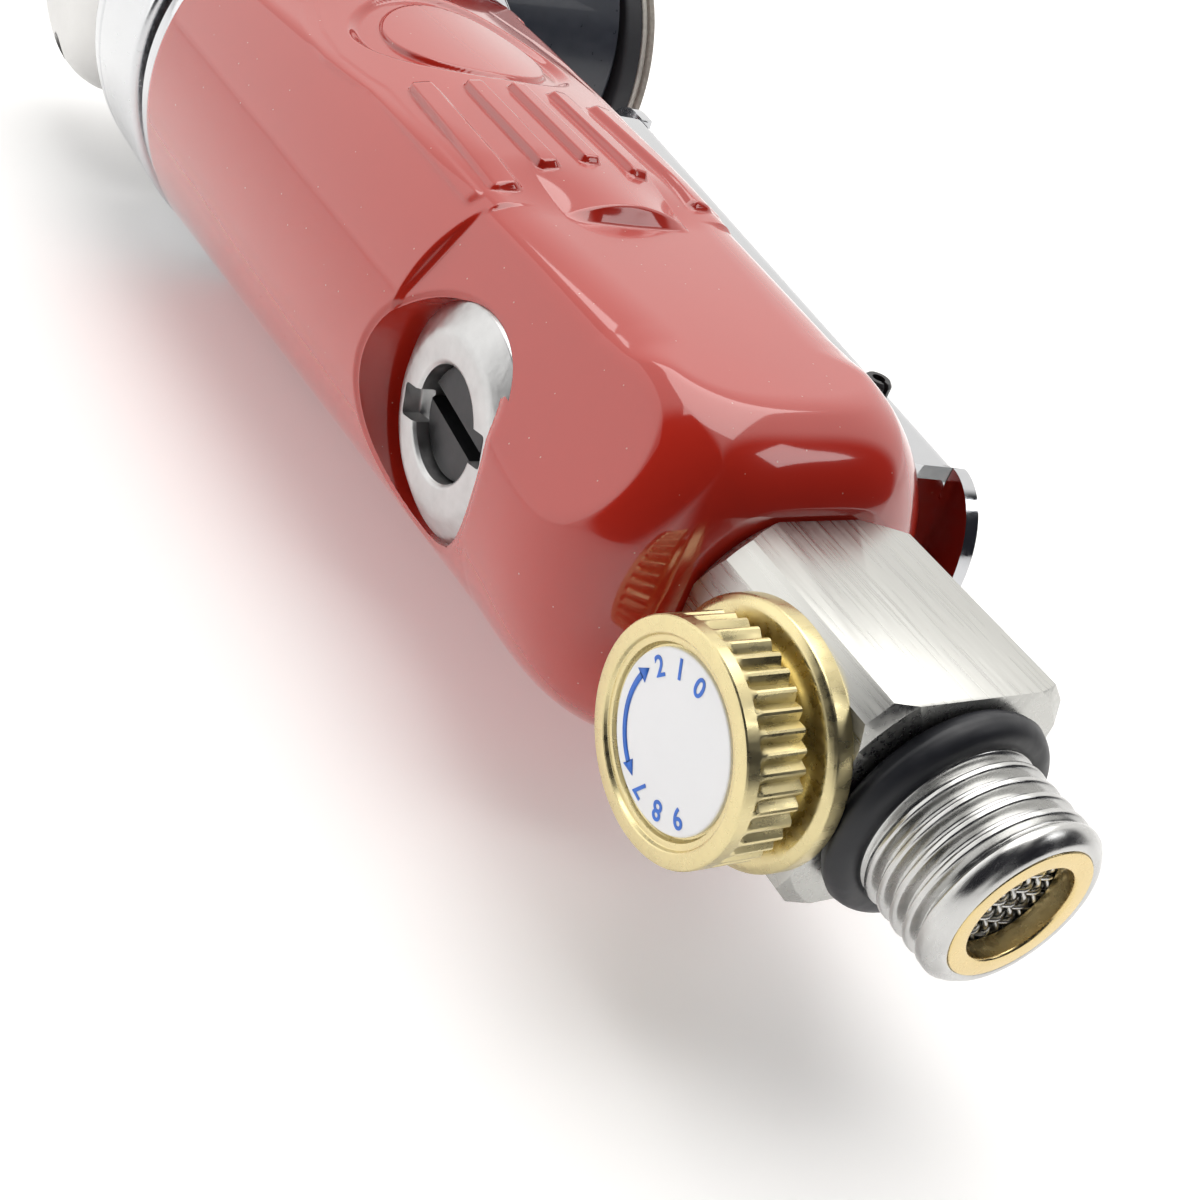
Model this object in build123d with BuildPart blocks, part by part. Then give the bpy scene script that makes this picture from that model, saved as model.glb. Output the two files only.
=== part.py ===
from build123d import *
import os
from math import atan2, cos, hypot, pi, radians, sin, tan

# Right-angle mini air sander, in millimetres.
# +X runs back along the handle to the air inlet, +Y out to the lever and the sanding pad, +Z up.
# The origin is on the inlet axis, where the full inlet thread starts.

# ---- driving dimensions: air inlet ----
thread_radius = 6.58            # G 1/4 male
thread_length = 6.0
thread_nose = 1.3               # polished end chamfer
thread_nose_drop = 1.0          # radial
relief_length = 2.6             # undercut that holds the sealing ring
relief_radius = 5.75
bar_width = 17.0
bar_chamfer = 1.5
bar_length = 18.2
bar_cone_radius = 9.2           # the bar's corners are turned off where it meets the housing
bar_cone_length = 3.2
spigot_radius = 8.0             # threaded end of the bar, inside the housing
spigot_length = 12.0
seal_width = 1.6
air_bore_radius = 4.0
bush_radius = 5.3
bush_bore_radius = 3.9
bush_length = 1.6
screen_thickness = 0.8
ring_section = 1.3              # section radius of the inlet sealing ring

# ---- driving dimensions: flow regulator on the bar ----
knob_setback = 7.6              # from the bar's rear face to the regulator axis
knob_radius = 7.9
knob_rim_thickness = 1.0
knob_length = 4.6
knob_neck_radius = 6.2
knob_root_depth = 0.45
knurl_count = 40
dial_radius = 5.9
dial_thickness = 0.6
dial_recess = 0.4               # below the knob's rim
collar_radius = 8.9
collar_thickness = 1.7
collar_gap = 1.0
knob_spindle_radius = 3.0
needle_radius = 1.6
needle_length = 13.0
needle_taper = 3.0
needle_tip_radius = 0.4
needle_engagement = 4.5         # inside the knob's spindle
needle_travel = 0.6
regulator_thread_radius = 4.6
collar_thread_length = 2.4
regulator_ring_section = 0.7    # section radius

# ---- driving dimensions: housing ----
rear_dome_length = 16.0
rear_dome = ((0.0, 0.53), (0.135, 0.807), (0.345, 0.941), (0.61, 0.991), (1.0, 1.0))
grip_rear_radius = 16.85
grip_front_radius = 20.4
top_flat_height = 14.2          # bare flat behind the thumb panel
crown_height = 15.6             # thumb panel
crown_radius = 45.0
crown_setback = 30.8            # from the bar's seat to the foot of the crown
crown_wall_length = 1.3
facet_drop = 0.75               # diagonal flats beside the bare flat, below the round grip
facet_angle = 31.0
facet_width = 24.0              # of the cutter
facet_step_distance = 34.1      # from the bar's seat to the step where the flats end
lever_flat_margin = 3.0         # of round grip left in front of the flat under the lever
lever_flat_rear = 13.6
lever_flat_front = 15.2
rib_count = 5
rib_pitch = 4.8
rib_width = 2.1
rib_height = 0.5                # above the crown
rib_foot = 1.0                  # below the crown, inside the casting
rib_front_distance = 20.7       # from the crown's edge to the front ends of the ribs
rib_margin = 2.5                # from the crown's edge to the rear ends of the outer ribs
rib_sweep = 3.7                 # the middle rib starts this much further forward
motor_bore_radius = 12.8
motor_chamber_length = 47.0
motor_setback = 11.9            # from the valve axis to the motor chamber
nose_step = 3.0                 # the threaded nose under the clamp nut is this much smaller
nose_length = 10.5
exhaust_slot_length = 12.0
exhaust_slot_width = 1.8
exhaust_pitch = 4.0
exhaust_setback = 5.0           # from the front of the cylinder to the middle slot

# ---- driving dimensions: throttle valve, across the handle ----
valve_setback = 24.3            # from the bar's seat to the valve axis
recess_radius = 9.5
plug_radius = 9.2
plug_face = 15.4                # distance of the plug's face from the handle axis
plug_length = 7.9
plug_bore_radius = 4.5
plug_notch_width = 2.6
plug_notch_depth = 1.6
plug_notch_reach = 1.8          # beyond the plug's bore
plug_notch_turn = -14.0         # degrees from the handle's axis
plug_bevel_width = 2.2
plug_bevel_depth = 1.4
screw_recess = 1.2              # below the plug's face
screw_slot_width = 1.5
screw_slot_depth = 1.6
screw_slot_turn = 6.0           # degrees from the handle's axis
valve_chamber_radius = 6.4
valve_chamber_end = 4.0         # beyond the handle axis, on the lever's side
valve_seat_length = 2.8
transfer_radius = 4.0
transfer_length = 5.0
motor_port_radius = 1.5
gland_section = 0.7             # section radius of the stem's sealing ring
valve_head_radius = 3.6
valve_head_length = 1.6
valve_lift_gap = 0.05
stem_radius = 1.5
stem_tip_round = 0.6
seat_bore_clearance = 1.2
stem_tip_gap = 0.15
spring_wire_radius = 0.35
spring_turns = 5

# ---- driving dimensions: lever ----
pivot_setback = 16.6            # from the bar's seat to the lever's pin
pivot_height = 17.6             # distance of the pin from the handle axis
pin_radius = 1.25
pin_overhang = 1.9
lever_press = 7.0               # degrees of travel
lever_sheet = 1.2
lever_half_width = 8.0
lever_web_offset = 3.6          # from the pin's centre to the outside of the web
lever_flange = 5.6
lever_tail = 15.1
lever_reach = 62.0
lever_end_length = 8.0          # free end without flanges
lever_rear_length = 5.5         # rounded tongue behind the flanges
lug_half_width = 6.3
lug_half_length = 4.2
lug_height = 19.4

# ---- driving dimensions: motor ----
plate_thickness = 6.0
cylinder_length = 28.0
cylinder_bore_radius = 10.75
rotor_radius = 9.8
rotor_offset = 0.9              # the cylinder's bore is above the rotor's axis by this
rotor_shaft_radius = 2.5
rotor_nose_radius = 3.5
rotor_nose_length = 9.0
rotor_end_gap = 0.1
vane_count = 5
vane_thickness = 1.5
vane_depth = 5.0
rear_bearing_radius = 5.5
front_bearing_radius = 8.0
bearing_width = 5.0
dowel_radius = 0.9
shaft_clearance = 0.4
exhaust_port_radius = 1.2
exhaust_port_spread = 9.0

# ---- driving dimensions: clamp nut and angle head ----
spacer_thickness = 2.2
spacer_setback = 0.2            # below the grip's surface
nut_gap = 1.8
nut_overhang = 0.3              # above the grip's surface
nut_chamfer = 0.6
nut_length = 13.9
nut_mouth_radius = 14.2
nut_lip = 3.0
head_spigot_length = 6.0
head_radius = 14.2
head_clearance = 0.4            # between the clamp nut and the guard
head_back = 19.5                # back of the head, from the handle axis
head_front = 16.0               # front of the head, from the handle axis
head_back_round = 6.0
head_back_wall = 2.5
neck_radius = 13.4
pinion_bearing_radius = 9.5
pinion_bearing_width = 6.0
bearing_spacer_length = 2.0
pinion_shaft_radius = 4.0
neck_shoulder_width = 2.2
neck_shoulder_radius = 8.3
clip_thickness = 0.8
clip_ring_width = 2.0            # radial
coupling_length = 9.0
coupling_radius = 6.0
coupling_gap = 2.0              # from the front end plate
gear_cavity_radius = 11.4
bearing_land = 1.0
cavity_gap = 0.4                # behind the bevel gear's bearing
upper_bearing_radius = 8.0
lower_bearing_radius = 10.5
lower_bearing_width = 6.0
spindle_back_radius = 3.0
spindle_middle_radius = 3.4
spindle_front_radius = 5.0
cover_radius = 12.4
cover_thickness = 3.0
cover_bore_clearance = 0.5
cover_thread_overlap = 1.0
spanner_hole_radius = 1.0
grease_screw_radius = 1.4
grease_screw_length = 2.4
grease_screw_recess = 1.3
grease_screw_drop = 10.6         # below the spindle's axis

# ---- driving dimensions: bevel gears ----
pinion_teeth = 13
gear_teeth = 19
gear_module = 0.9
tooth_face = 3.6
pinion_hub_radius = 5.2
gear_hub_radius = 6.0

# ---- driving dimensions: guard, eccentric and pad ----
guard_wall = 1.4
guard_gap = 0.2                 # to the head's neck
guard_length = 29.6
orbit_offset = 1.5
counterweight_radius = 12.6
counterweight_thickness = 4.0
cup_radius = 9.4
pad_bearing_radius = 7.5
pad_bearing_width = 5.0
pad_bearing_gap = 1.0
pad_stud_radius = 4.0
pad_plate_radius = 12.0
pad_plate_thickness = 1.2
stud_flange = 0.8               # radial
spanner_flat_margin = 1.0
pad_gap = 0.8
pad_radius = 16.6
pad_thickness = 2.5
hook_thickness = 0.7
abrasive_thickness = 0.8
abrasive_radius = 17.0

# ---- clearances ----
running = 0.03                  # radial, shafts that turn
slip = 0.15                     # radial, parts that only pass each other
seat_gap = 0.02                 # parts that are assembled by hand

# ---- stations along the handle ----
bar_back = -relief_length
seat_x = bar_back - bar_length
spigot_front = seat_x - spigot_length
knob_x = bar_back - knob_setback
valve_x = seat_x - valve_setback
pivot_x = seat_x - pivot_setback
crown_foot = seat_x - crown_setback
crown_edge = crown_foot - crown_wall_length
step_x = seat_x - facet_step_distance
motor_back = valve_x - motor_setback
housing_front = motor_back - motor_chamber_length
spacer_radius = grip_front_radius - spacer_setback
nut_radius = grip_front_radius + nut_overhang
nose_radius = grip_front_radius - nose_step
cylinder_back = motor_back - plate_thickness
cylinder_front = cylinder_back - cylinder_length
front_plate_front = cylinder_front - plate_thickness
nose_front = housing_front - nose_length
nut_back = housing_front - spacer_thickness - nut_gap
nut_front = nut_back - nut_length
guard_radius = head_radius + seat_gap + guard_wall
head_x = nut_front - head_clearance - guard_radius
flange_front = nut_front + nut_lip
neck_shoulder = head_x + gear_cavity_radius + neck_shoulder_width

# ---- stations across the head and the bar ----
knob_face = bar_width / 2 + collar_thickness + collar_gap + knob_length
guard_back = neck_radius + guard_gap
guard_end = guard_back + guard_length
pad_back = guard_end + pad_gap
hook_back = pad_back + pad_thickness
abrasive_back = hook_back + hook_thickness
pad_face = abrasive_back + abrasive_thickness
lower_bearing_back = head_front - cover_thickness - lower_bearing_width + cover_thread_overlap
cover_back = lower_bearing_back + lower_bearing_width
cover_front = cover_back + cover_thickness
upper_bearing_back = -head_back + head_back_wall
upper_bearing_front = upper_bearing_back + bearing_width
cavity_back = upper_bearing_front + cavity_gap
weight_back = cover_front + bearing_land
weight_front = weight_back + counterweight_thickness
grease_face = -head_back + grease_screw_recess

handle_axis = Axis.X
knob_axis = Axis((knob_x, 0, 0), (0, -1, 0))
valve_axis = Axis((valve_x, 0, 0), (0, 1, 0))
head_axis = Axis((head_x, 0, 0), (0, 1, 0))
pad_axis = Axis((head_x, 0, -orbit_offset), (0, 1, 0))
pad_plane = Plane.XY.offset(-orbit_offset)
# faces +Y; its own y axis points down, so a positive second value is below the handle's axis
across = Plane(origin=(0, 0, 0), x_dir=(1, 0, 0), z_dir=(0, 1, 0))


def outline(*points):
    """A closed straight-sided profile on the ground plane."""
    with BuildSketch() as shape:
        with BuildLine():
            Polyline(*points, close=True)
        make_face()
    return shape.sketch


def ring(near, far, outer, inner=0.0):
    """The profile of a ring about X, from x = near to x = far."""
    return outline((near, inner), (near, outer), (far, outer), (far, inner))


def cross_ring(centre, near, far, outer, inner=0.0):
    """The profile of a ring about a Y axis at x = centre, from y = near to y = far."""
    inside = centre + inner
    outside = centre + outer
    return outline((inside, near), (outside, near), (outside, far), (inside, far))


def finish(part, name):
    """Names a finished piece and writes it."""
    part.label = name
    export_step(part, f"parts/{name}.step")


os.makedirs("parts", exist_ok=True)

# ======== air inlet ========

with BuildPart() as inlet_bar:
    with BuildSketch(Plane.YZ.offset(seat_x)):
        Rectangle(bar_width, bar_width)
    extrude(amount=bar_length)
    chamfer(inlet_bar.edges().filter_by(Axis.X), bar_chamfer)
    thread_end = thread_length + thread_nose
    corner = bar_width / 2 * 1.5
    cone_back = seat_x + bar_cone_length
    revolve(
        outline((seat_x, bar_cone_radius), (cone_back, corner), (seat_x, corner)),
        axis=handle_axis, mode=Mode.SUBTRACT,
    )
    revolve(ring(bar_back, 0, relief_radius), axis=handle_axis)
    revolve(
        outline(
            (0, 0), (0, thread_radius), (thread_length, thread_radius),
            (thread_end, thread_radius - thread_nose_drop), (thread_end, 0),
        ),
        axis=handle_axis,
    )
    revolve(ring(spigot_front, seat_x, spigot_radius), axis=handle_axis)
    revolve(ring(spigot_front, thread_end, air_bore_radius), axis=handle_axis, mode=Mode.SUBTRACT)
    bush_seat = thread_end - bush_length - screen_thickness
    revolve(ring(bush_seat, thread_end, bush_radius), axis=handle_axis, mode=Mode.SUBTRACT)
    revolve(
        cross_ring(knob_x, 0, -bar_width / 2, regulator_thread_radius),
        axis=knob_axis, mode=Mode.SUBTRACT,
    )
finish(inlet_bar.part, "inlet_bar")

with BuildPart() as inlet_o_ring:
    ring_centre = bar_back + ring_section
    with BuildSketch():
        with Locations((ring_centre, relief_radius + ring_section)):
            Circle(ring_section)
    revolve(axis=handle_axis)
finish(inlet_o_ring.part, "inlet_o_ring")

with BuildPart() as inlet_bush:
    revolve(ring(thread_end - bush_length, thread_end, bush_radius, bush_bore_radius), axis=handle_axis)
finish(inlet_bush.part, "inlet_bush")

with BuildPart() as inlet_screen:
    revolve(ring(bush_seat, bush_seat + screen_thickness, bush_radius), axis=handle_axis)
finish(inlet_screen.part, "inlet_screen")

with BuildPart() as inlet_seal:
    revolve(ring(seat_x - seal_width, seat_x, spigot_radius + seal_width, spigot_radius), axis=handle_axis)
finish(inlet_seal.part, "inlet_seal")

# ======== flow regulator ========

bar_side = -bar_width / 2
collar_face = bar_side - collar_thickness
knob_back = collar_face - collar_gap
collar_thread_end = bar_side + collar_thread_length
dial_face = -knob_face + dial_recess
dial_back = dial_face + dial_thickness

with BuildPart() as regulator_collar:
    revolve(cross_ring(knob_x, collar_face, bar_side, collar_radius), axis=knob_axis)
    revolve(cross_ring(knob_x, bar_side, collar_thread_end, regulator_thread_radius), axis=knob_axis)
    revolve(
        cross_ring(knob_x, collar_face, collar_thread_end, knob_spindle_radius + running),
        axis=knob_axis, mode=Mode.SUBTRACT,
    )
    chamfer(regulator_collar.edges().filter_by(GeomType.CIRCLE).group_by(Axis.Y)[0], 0.3)
finish(regulator_collar.part, "regulator_collar")

with BuildPart() as regulator_knob:
    grip_face = -knob_face + knob_rim_thickness
    revolve(cross_ring(knob_x, -knob_face, grip_face, knob_radius), axis=knob_axis)
    revolve(cross_ring(knob_x, grip_face, knob_back, knob_radius), axis=knob_axis)
    notch_plane = Plane(origin=(knob_x, grip_face, 0), x_dir=(1, 0, 0), z_dir=(0, 1, 0))
    with BuildSketch(notch_plane):
        with PolarLocations(knob_radius + slip, knurl_count):
            RegularPolygon(knob_root_depth + slip, 4)
    extrude(amount=knob_length, mode=Mode.SUBTRACT)
    revolve(cross_ring(knob_x, knob_back, collar_face - rotor_end_gap, knob_neck_radius), axis=knob_axis)
    revolve(cross_ring(knob_x, knob_back, collar_thread_end, knob_spindle_radius), axis=knob_axis)
    revolve(
        cross_ring(knob_x, -knob_face, dial_back, dial_radius),
        axis=knob_axis, mode=Mode.SUBTRACT,
    )
    needle_back = collar_thread_end - needle_engagement
    revolve(
        cross_ring(knob_x, needle_back - needle_travel - slip, collar_thread_end, needle_radius + slip / 3),
        axis=knob_axis, mode=Mode.SUBTRACT,
    )
finish(regulator_knob.part, "regulator_knob")

with BuildPart() as regulator_dial:
    revolve(cross_ring(knob_x, dial_face, dial_back, dial_radius), axis=knob_axis)
finish(regulator_dial.part, "regulator_dial")

with BuildPart() as regulator_needle:
    needle_tip = needle_back + needle_length
    revolve(
        outline(
            (knob_x, needle_back), (knob_x + needle_radius, needle_back),
            (knob_x + needle_radius, needle_tip - needle_taper), (knob_x + needle_tip_radius, needle_tip),
            (knob_x, needle_tip),
        ),
        axis=knob_axis,
    )
finish(regulator_needle.part, "regulator_needle")

with BuildPart() as regulator_o_ring:
    with BuildSketch():
        ring_middle = collar_thread_end + regulator_ring_section + 2 * rotor_end_gap
        with Locations((knob_x + needle_radius + regulator_ring_section + rotor_end_gap / 2, ring_middle)):
            Circle(regulator_ring_section)
    revolve(axis=knob_axis)
finish(regulator_o_ring.part, "regulator_o_ring")

# ======== housing ========

plug_back = -plug_face + plug_length
seat_front = valve_chamber_end - valve_seat_length
gland_radius = stem_radius + running + 2 * gland_section
gland_back = valve_chamber_end + transfer_length
gland_end = gland_back + 2 * gland_section
motor_port_y = gland_back - motor_port_radius - 0.2

with BuildPart() as housing:
    dome_points = [(seat_x - x * rear_dome_length, r * grip_rear_radius) for x, r in rear_dome]
    shoulder_x = seat_x - rear_dome_length
    with BuildSketch():
        with BuildLine():
            Line((seat_x, 0), dome_points[0])
            Spline(*dome_points)
            Line((shoulder_x, grip_rear_radius), (housing_front, grip_front_radius))
            Line((housing_front, grip_front_radius), (housing_front, nose_radius))
            Line((housing_front, nose_radius), (nose_front, nose_radius))
            Line((nose_front, nose_radius), (nose_front, 0))
            Line((nose_front, 0), (seat_x, 0))
        make_face()
    revolve(axis=handle_axis)
    taper = atan2(grip_front_radius - grip_rear_radius, shoulder_x - housing_front)
    grip_at_step = grip_rear_radius + (shoulder_x - step_x) * tan(taper)
    above = 2 * grip_front_radius
    # bare flat at the rear of the top, up to the foot of the crown
    with BuildSketch(Plane.XZ):
        with BuildLine():
            Polyline(
                (seat_x + 1, top_flat_height), (crown_foot, top_flat_height), (crown_edge, crown_height),
                (crown_edge, above), (seat_x + 1, above),
                close=True,
            )
        make_face()
    extrude(amount=grip_front_radius, both=True, mode=Mode.SUBTRACT)
    # crowned thumb panel in front of it
    with BuildSketch(Plane.YZ.offset(housing_front)):
        Rectangle(above, above)
        with Locations((0, crown_height - crown_radius)):
            Circle(crown_radius, mode=Mode.SUBTRACT)
        with Locations((0, -grip_front_radius)):
            Rectangle(above + 1, above, mode=Mode.SUBTRACT)
    extrude(amount=crown_edge - housing_front, mode=Mode.SUBTRACT)
    # diagonal flats either side of the bare flat, parallel to the tapered grip
    facet_span = seat_x + 1 - step_x
    for side in (-1, 1):
        outward = Vector(0, side * cos(radians(facet_angle)), sin(radians(facet_angle)))
        facet_normal = outward * cos(taper) + Vector(sin(taper), 0, 0)
        facet_run = Vector(cos(taper), 0, 0) - outward * sin(taper)
        facet_origin = Vector(step_x, 0, 0) + outward * (grip_at_step - facet_drop)
        with BuildSketch(Plane(origin=facet_origin, x_dir=facet_run, z_dir=facet_normal)):
            with Locations((facet_span / 2, 0)):
                Rectangle(facet_span, facet_width)
        extrude(amount=facet_width / 4, mode=Mode.SUBTRACT)
    # flats under the lever
    lever_flat_end = housing_front + lever_flat_margin
    with BuildSketch(across.offset(lever_flat_rear)):
        with Locations(((seat_x + 1 + step_x) / 2, 0)):
            Rectangle(seat_x + 1 - step_x, 2 * grip_front_radius)
    extrude(amount=grip_front_radius, mode=Mode.SUBTRACT)
    with BuildSketch(across.offset(lever_flat_front)):
        with Locations(((step_x + lever_flat_end) / 2, 0)):
            Rectangle(step_x - lever_flat_end, 2 * grip_front_radius)
    extrude(amount=grip_front_radius, mode=Mode.SUBTRACT)
    # lug for the lever's pin
    with BuildSketch(across.offset(lever_flat_rear)):
        with Locations((pivot_x, 0)):
            Rectangle(2 * lug_half_length, 2 * lug_half_width)
    extrude(amount=lug_height - lever_flat_rear)
    with BuildSketch(Plane.XY.offset(-lug_half_width)):
        with Locations((pivot_x, pivot_height)):
            Circle(pin_radius)
    extrude(amount=2 * lug_half_width, mode=Mode.SUBTRACT)
    # thumb ribs on the crown
    last_rib = (rib_count - 1) / 2
    rib_front = crown_edge - rib_front_distance
    for index in range(rib_count):
        place = index - last_rib
        rib_back = crown_edge - rib_margin - rib_sweep * (1 - (place / last_rib) ** 2)
        crown_drop = (place * rib_pitch) ** 2 / (2 * crown_radius)
        with BuildSketch(Plane.XY.offset(crown_height - crown_drop - rib_foot)):
            with Locations(((rib_back + rib_front) / 2, place * rib_pitch)):
                SlotOverall(rib_back - rib_front, rib_width)
        extrude(amount=rib_foot + rib_height)
    # inlet, valve chamber and air passages
    inlet_bores = outline(
        (seat_x + 1, 0), (seat_x + 1, spigot_radius + seal_width),
        (seat_x - seal_width, spigot_radius + seal_width), (seat_x - seal_width, spigot_radius),
        (spigot_front, spigot_radius), (spigot_front, air_bore_radius),
        (valve_x, air_bore_radius), (valve_x, 0),
    )
    revolve(inlet_bores, axis=handle_axis, mode=Mode.SUBTRACT)
    valve_steps = (
        (recess_radius, -grip_front_radius - 1, plug_back),
        (valve_chamber_radius, plug_back, valve_chamber_end),
        (transfer_radius, valve_chamber_end, gland_back),
        (gland_radius, gland_back, gland_end),
        (stem_radius + running, gland_end, lever_flat_rear + 0.5),
    )
    valve_points = [(valve_x, -grip_front_radius - 1)]
    for bore, near, far in valve_steps:
        valve_points += [(valve_x + bore, near), (valve_x + bore, far)]
    valve_points.append((valve_x, lever_flat_rear + 0.5))
    revolve(outline(*valve_points), axis=valve_axis, mode=Mode.SUBTRACT)
    with BuildSketch(Plane.YZ.offset(motor_back)):
        with Locations((motor_port_y, 0)):
            Circle(motor_port_radius)
    extrude(amount=valve_x - motor_back, mode=Mode.SUBTRACT)
    # motor chamber and exhaust slots on the underside
    revolve(ring(nose_front, motor_back, motor_bore_radius), axis=handle_axis, mode=Mode.SUBTRACT)
    with BuildSketch(Plane.XY.offset(-grip_front_radius)):
        with Locations((cylinder_front + exhaust_setback, 0)):
            with GridLocations(exhaust_pitch, 0, 3, 1):
                SlotOverall(exhaust_slot_length, exhaust_slot_width, rotation=90)
    extrude(amount=grip_front_radius - motor_bore_radius + 3, mode=Mode.SUBTRACT)
finish(housing.part, "housing")

# ======== throttle valve ========

with BuildPart() as valve_plug:
    bevel_back = -plug_face + plug_bevel_depth
    revolve(
        outline(
            (valve_x + plug_bore_radius, -plug_face),
            (valve_x + plug_radius - plug_bevel_width, -plug_face),
            (valve_x + plug_radius, bevel_back), (valve_x + plug_radius, plug_back),
            (valve_x + plug_bore_radius, plug_back),
        ),
        axis=valve_axis,
    )
    with BuildSketch(across.offset(-plug_face)):
        with Locations((valve_x, 0)):
            Rectangle(2 * (plug_bore_radius + plug_notch_reach), plug_notch_width, rotation=plug_notch_turn)
    extrude(amount=plug_notch_depth, mode=Mode.SUBTRACT)
finish(valve_plug.part, "valve_plug")

with BuildPart() as speed_screw:
    screw_face = -plug_face + screw_recess
    screw_back = plug_back + 0.4
    revolve(cross_ring(valve_x, screw_face, screw_back, plug_bore_radius - running), axis=valve_axis)
    with BuildSketch(across.offset(screw_face)):
        with Locations((valve_x, 0)):
            Rectangle(2 * plug_bore_radius + 1, screw_slot_width, rotation=screw_slot_turn)
    extrude(amount=screw_slot_depth, mode=Mode.SUBTRACT)
finish(speed_screw.part, "speed_screw")

with BuildPart() as valve_seat:
    seat_bore = stem_radius + seat_bore_clearance
    revolve(
        cross_ring(valve_x, seat_front, valve_chamber_end, valve_chamber_radius, seat_bore),
        axis=valve_axis,
    )
finish(valve_seat.part, "valve_seat")

# The lever's web leans away from the handle by lever_press when it is released.
lean = radians(lever_press)
web_inside = lever_web_offset - lever_sheet
web_over_valve = pivot_height + web_inside / cos(lean) + (pivot_x - valve_x) * sin(lean) / cos(lean)
stem_tip = web_over_valve - stem_tip_gap - stem_radius * sin(lean)

valve_head_front = seat_front - valve_lift_gap

with BuildPart() as throttle_stem:
    revolve(cross_ring(valve_x, 0, stem_tip, stem_radius), axis=valve_axis)
    revolve(
        cross_ring(valve_x, valve_head_front - valve_head_length, valve_head_front, valve_head_radius),
        axis=valve_axis,
    )
    fillet(throttle_stem.edges().filter_by(GeomType.CIRCLE).group_by(Axis.Y)[-1], stem_tip_round)
finish(throttle_stem.part, "throttle_stem")

with BuildPart() as stem_o_ring:
    with BuildSketch():
        with Locations((valve_x + stem_radius + running + gland_section, gland_back + gland_section)):
            Circle(gland_section)
    revolve(axis=valve_axis)
finish(stem_o_ring.part, "stem_o_ring")

with BuildPart() as valve_spring:
    spring_back = screw_back + spring_wire_radius
    spring_front = valve_head_front - valve_head_length - spring_wire_radius
    spring_height = spring_front - spring_back
    with BuildLine() as coil:
        Helix(
            pitch=spring_height / spring_turns,
            height=spring_height,
            radius=valve_head_radius - 0.8,
            center=(valve_x, spring_back, 0),
            direction=(0, 1, 0),
        )
    with BuildSketch(Plane(origin=coil.line @ 0, z_dir=coil.line % 0)):
        Circle(spring_wire_radius)
    sweep(is_frenet=True)
finish(valve_spring.part, "valve_spring")

# ======== lever ========

pivot = Vector(pivot_x, pivot_height, 0)
lever_along = Vector(-cos(lean), sin(lean), 0)      # from the pin towards the free end
lever_out = Vector(sin(lean), cos(lean), 0)         # away from the handle

with BuildPart() as throttle_lever:
    web_plane = Plane(origin=pivot + lever_out * lever_web_offset, x_dir=lever_along, z_dir=-lever_out)
    with BuildSketch(web_plane):
        with Locations(((lever_reach - lever_tail) / 2, 0)):
            RectangleRounded(lever_reach + lever_tail, 2 * lever_half_width, lever_half_width * 0.75)
    extrude(amount=lever_flange)
    with BuildSketch(web_plane.offset(lever_sheet)):
        with Locations(((lever_reach - lever_tail) / 2, 0)):
            Rectangle(lever_reach + lever_tail + 2, 2 * (lever_half_width - lever_sheet))
    extrude(amount=lever_flange, mode=Mode.SUBTRACT)
    # the flanges stop short of the rounded ends
    with BuildSketch(web_plane.offset(lever_sheet)):
        with Locations((lever_reach, 0)):
            Rectangle(2 * lever_end_length, 4 * lever_half_width)
        with Locations((-lever_tail, 0)):
            Rectangle(2 * lever_rear_length, 4 * lever_half_width)
    extrude(amount=lever_flange, mode=Mode.SUBTRACT)
    with BuildSketch(Plane.XY.offset(-2 * lever_half_width)):
        with Locations((pivot_x, pivot_height)):
            Circle(pin_radius + running)
    extrude(amount=4 * lever_half_width, mode=Mode.SUBTRACT)
finish(throttle_lever.part, "throttle_lever")

with BuildPart() as lever_pin:
    pin_end = lever_half_width + pin_overhang
    with BuildSketch(Plane.XY.offset(-pin_end)):
        with Locations((pivot_x, pivot_height)):
            Circle(pin_radius)
            Circle(pin_radius * 0.45, mode=Mode.SUBTRACT)
            with Locations((pin_radius, 0)):
                Rectangle(2 * pin_radius, 0.4, mode=Mode.SUBTRACT)
    extrude(amount=2 * pin_end)
finish(lever_pin.part, "lever_pin")

# ======== motor ========

plate_radius = motor_bore_radius - seat_gap
rear_bearing_front = motor_back - bearing_width
front_bearing_back = front_plate_front + bearing_width
dowel_z = -(cylinder_bore_radius - rotor_offset + plate_radius) / 2

with BuildPart() as rear_end_plate:
    revolve(
        ring(cylinder_back, motor_back, plate_radius, rotor_shaft_radius + shaft_clearance),
        axis=handle_axis,
    )
    revolve(ring(rear_bearing_front, motor_back, rear_bearing_radius), axis=handle_axis, mode=Mode.SUBTRACT)
    with BuildSketch(Plane.YZ.offset(cylinder_back)):
        with Locations((motor_port_y, 0)):
            Circle(motor_port_radius)
        with Locations((0, dowel_z)):
            Circle(dowel_radius)
    extrude(amount=plate_thickness, mode=Mode.SUBTRACT)
finish(rear_end_plate.part, "rear_end_plate")

with BuildPart() as motor_cylinder:
    with BuildSketch(Plane.YZ.offset(cylinder_front)):
        Circle(plate_radius)
        with Locations((0, rotor_offset)):
            Circle(cylinder_bore_radius, mode=Mode.SUBTRACT)
        with Locations((0, dowel_z)):
            Circle(dowel_radius, mode=Mode.SUBTRACT)
    extrude(amount=cylinder_length)
    # exhaust ports, over the housing's slots
    with BuildSketch(Plane.XY.offset(-motor_bore_radius)):
        with Locations((cylinder_front + exhaust_setback, 0)):
            with GridLocations(exhaust_pitch, exhaust_port_spread, 3, 2):
                Circle(exhaust_port_radius)
    extrude(amount=motor_bore_radius / 2, mode=Mode.SUBTRACT)
finish(motor_cylinder.part, "motor_cylinder")

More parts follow.
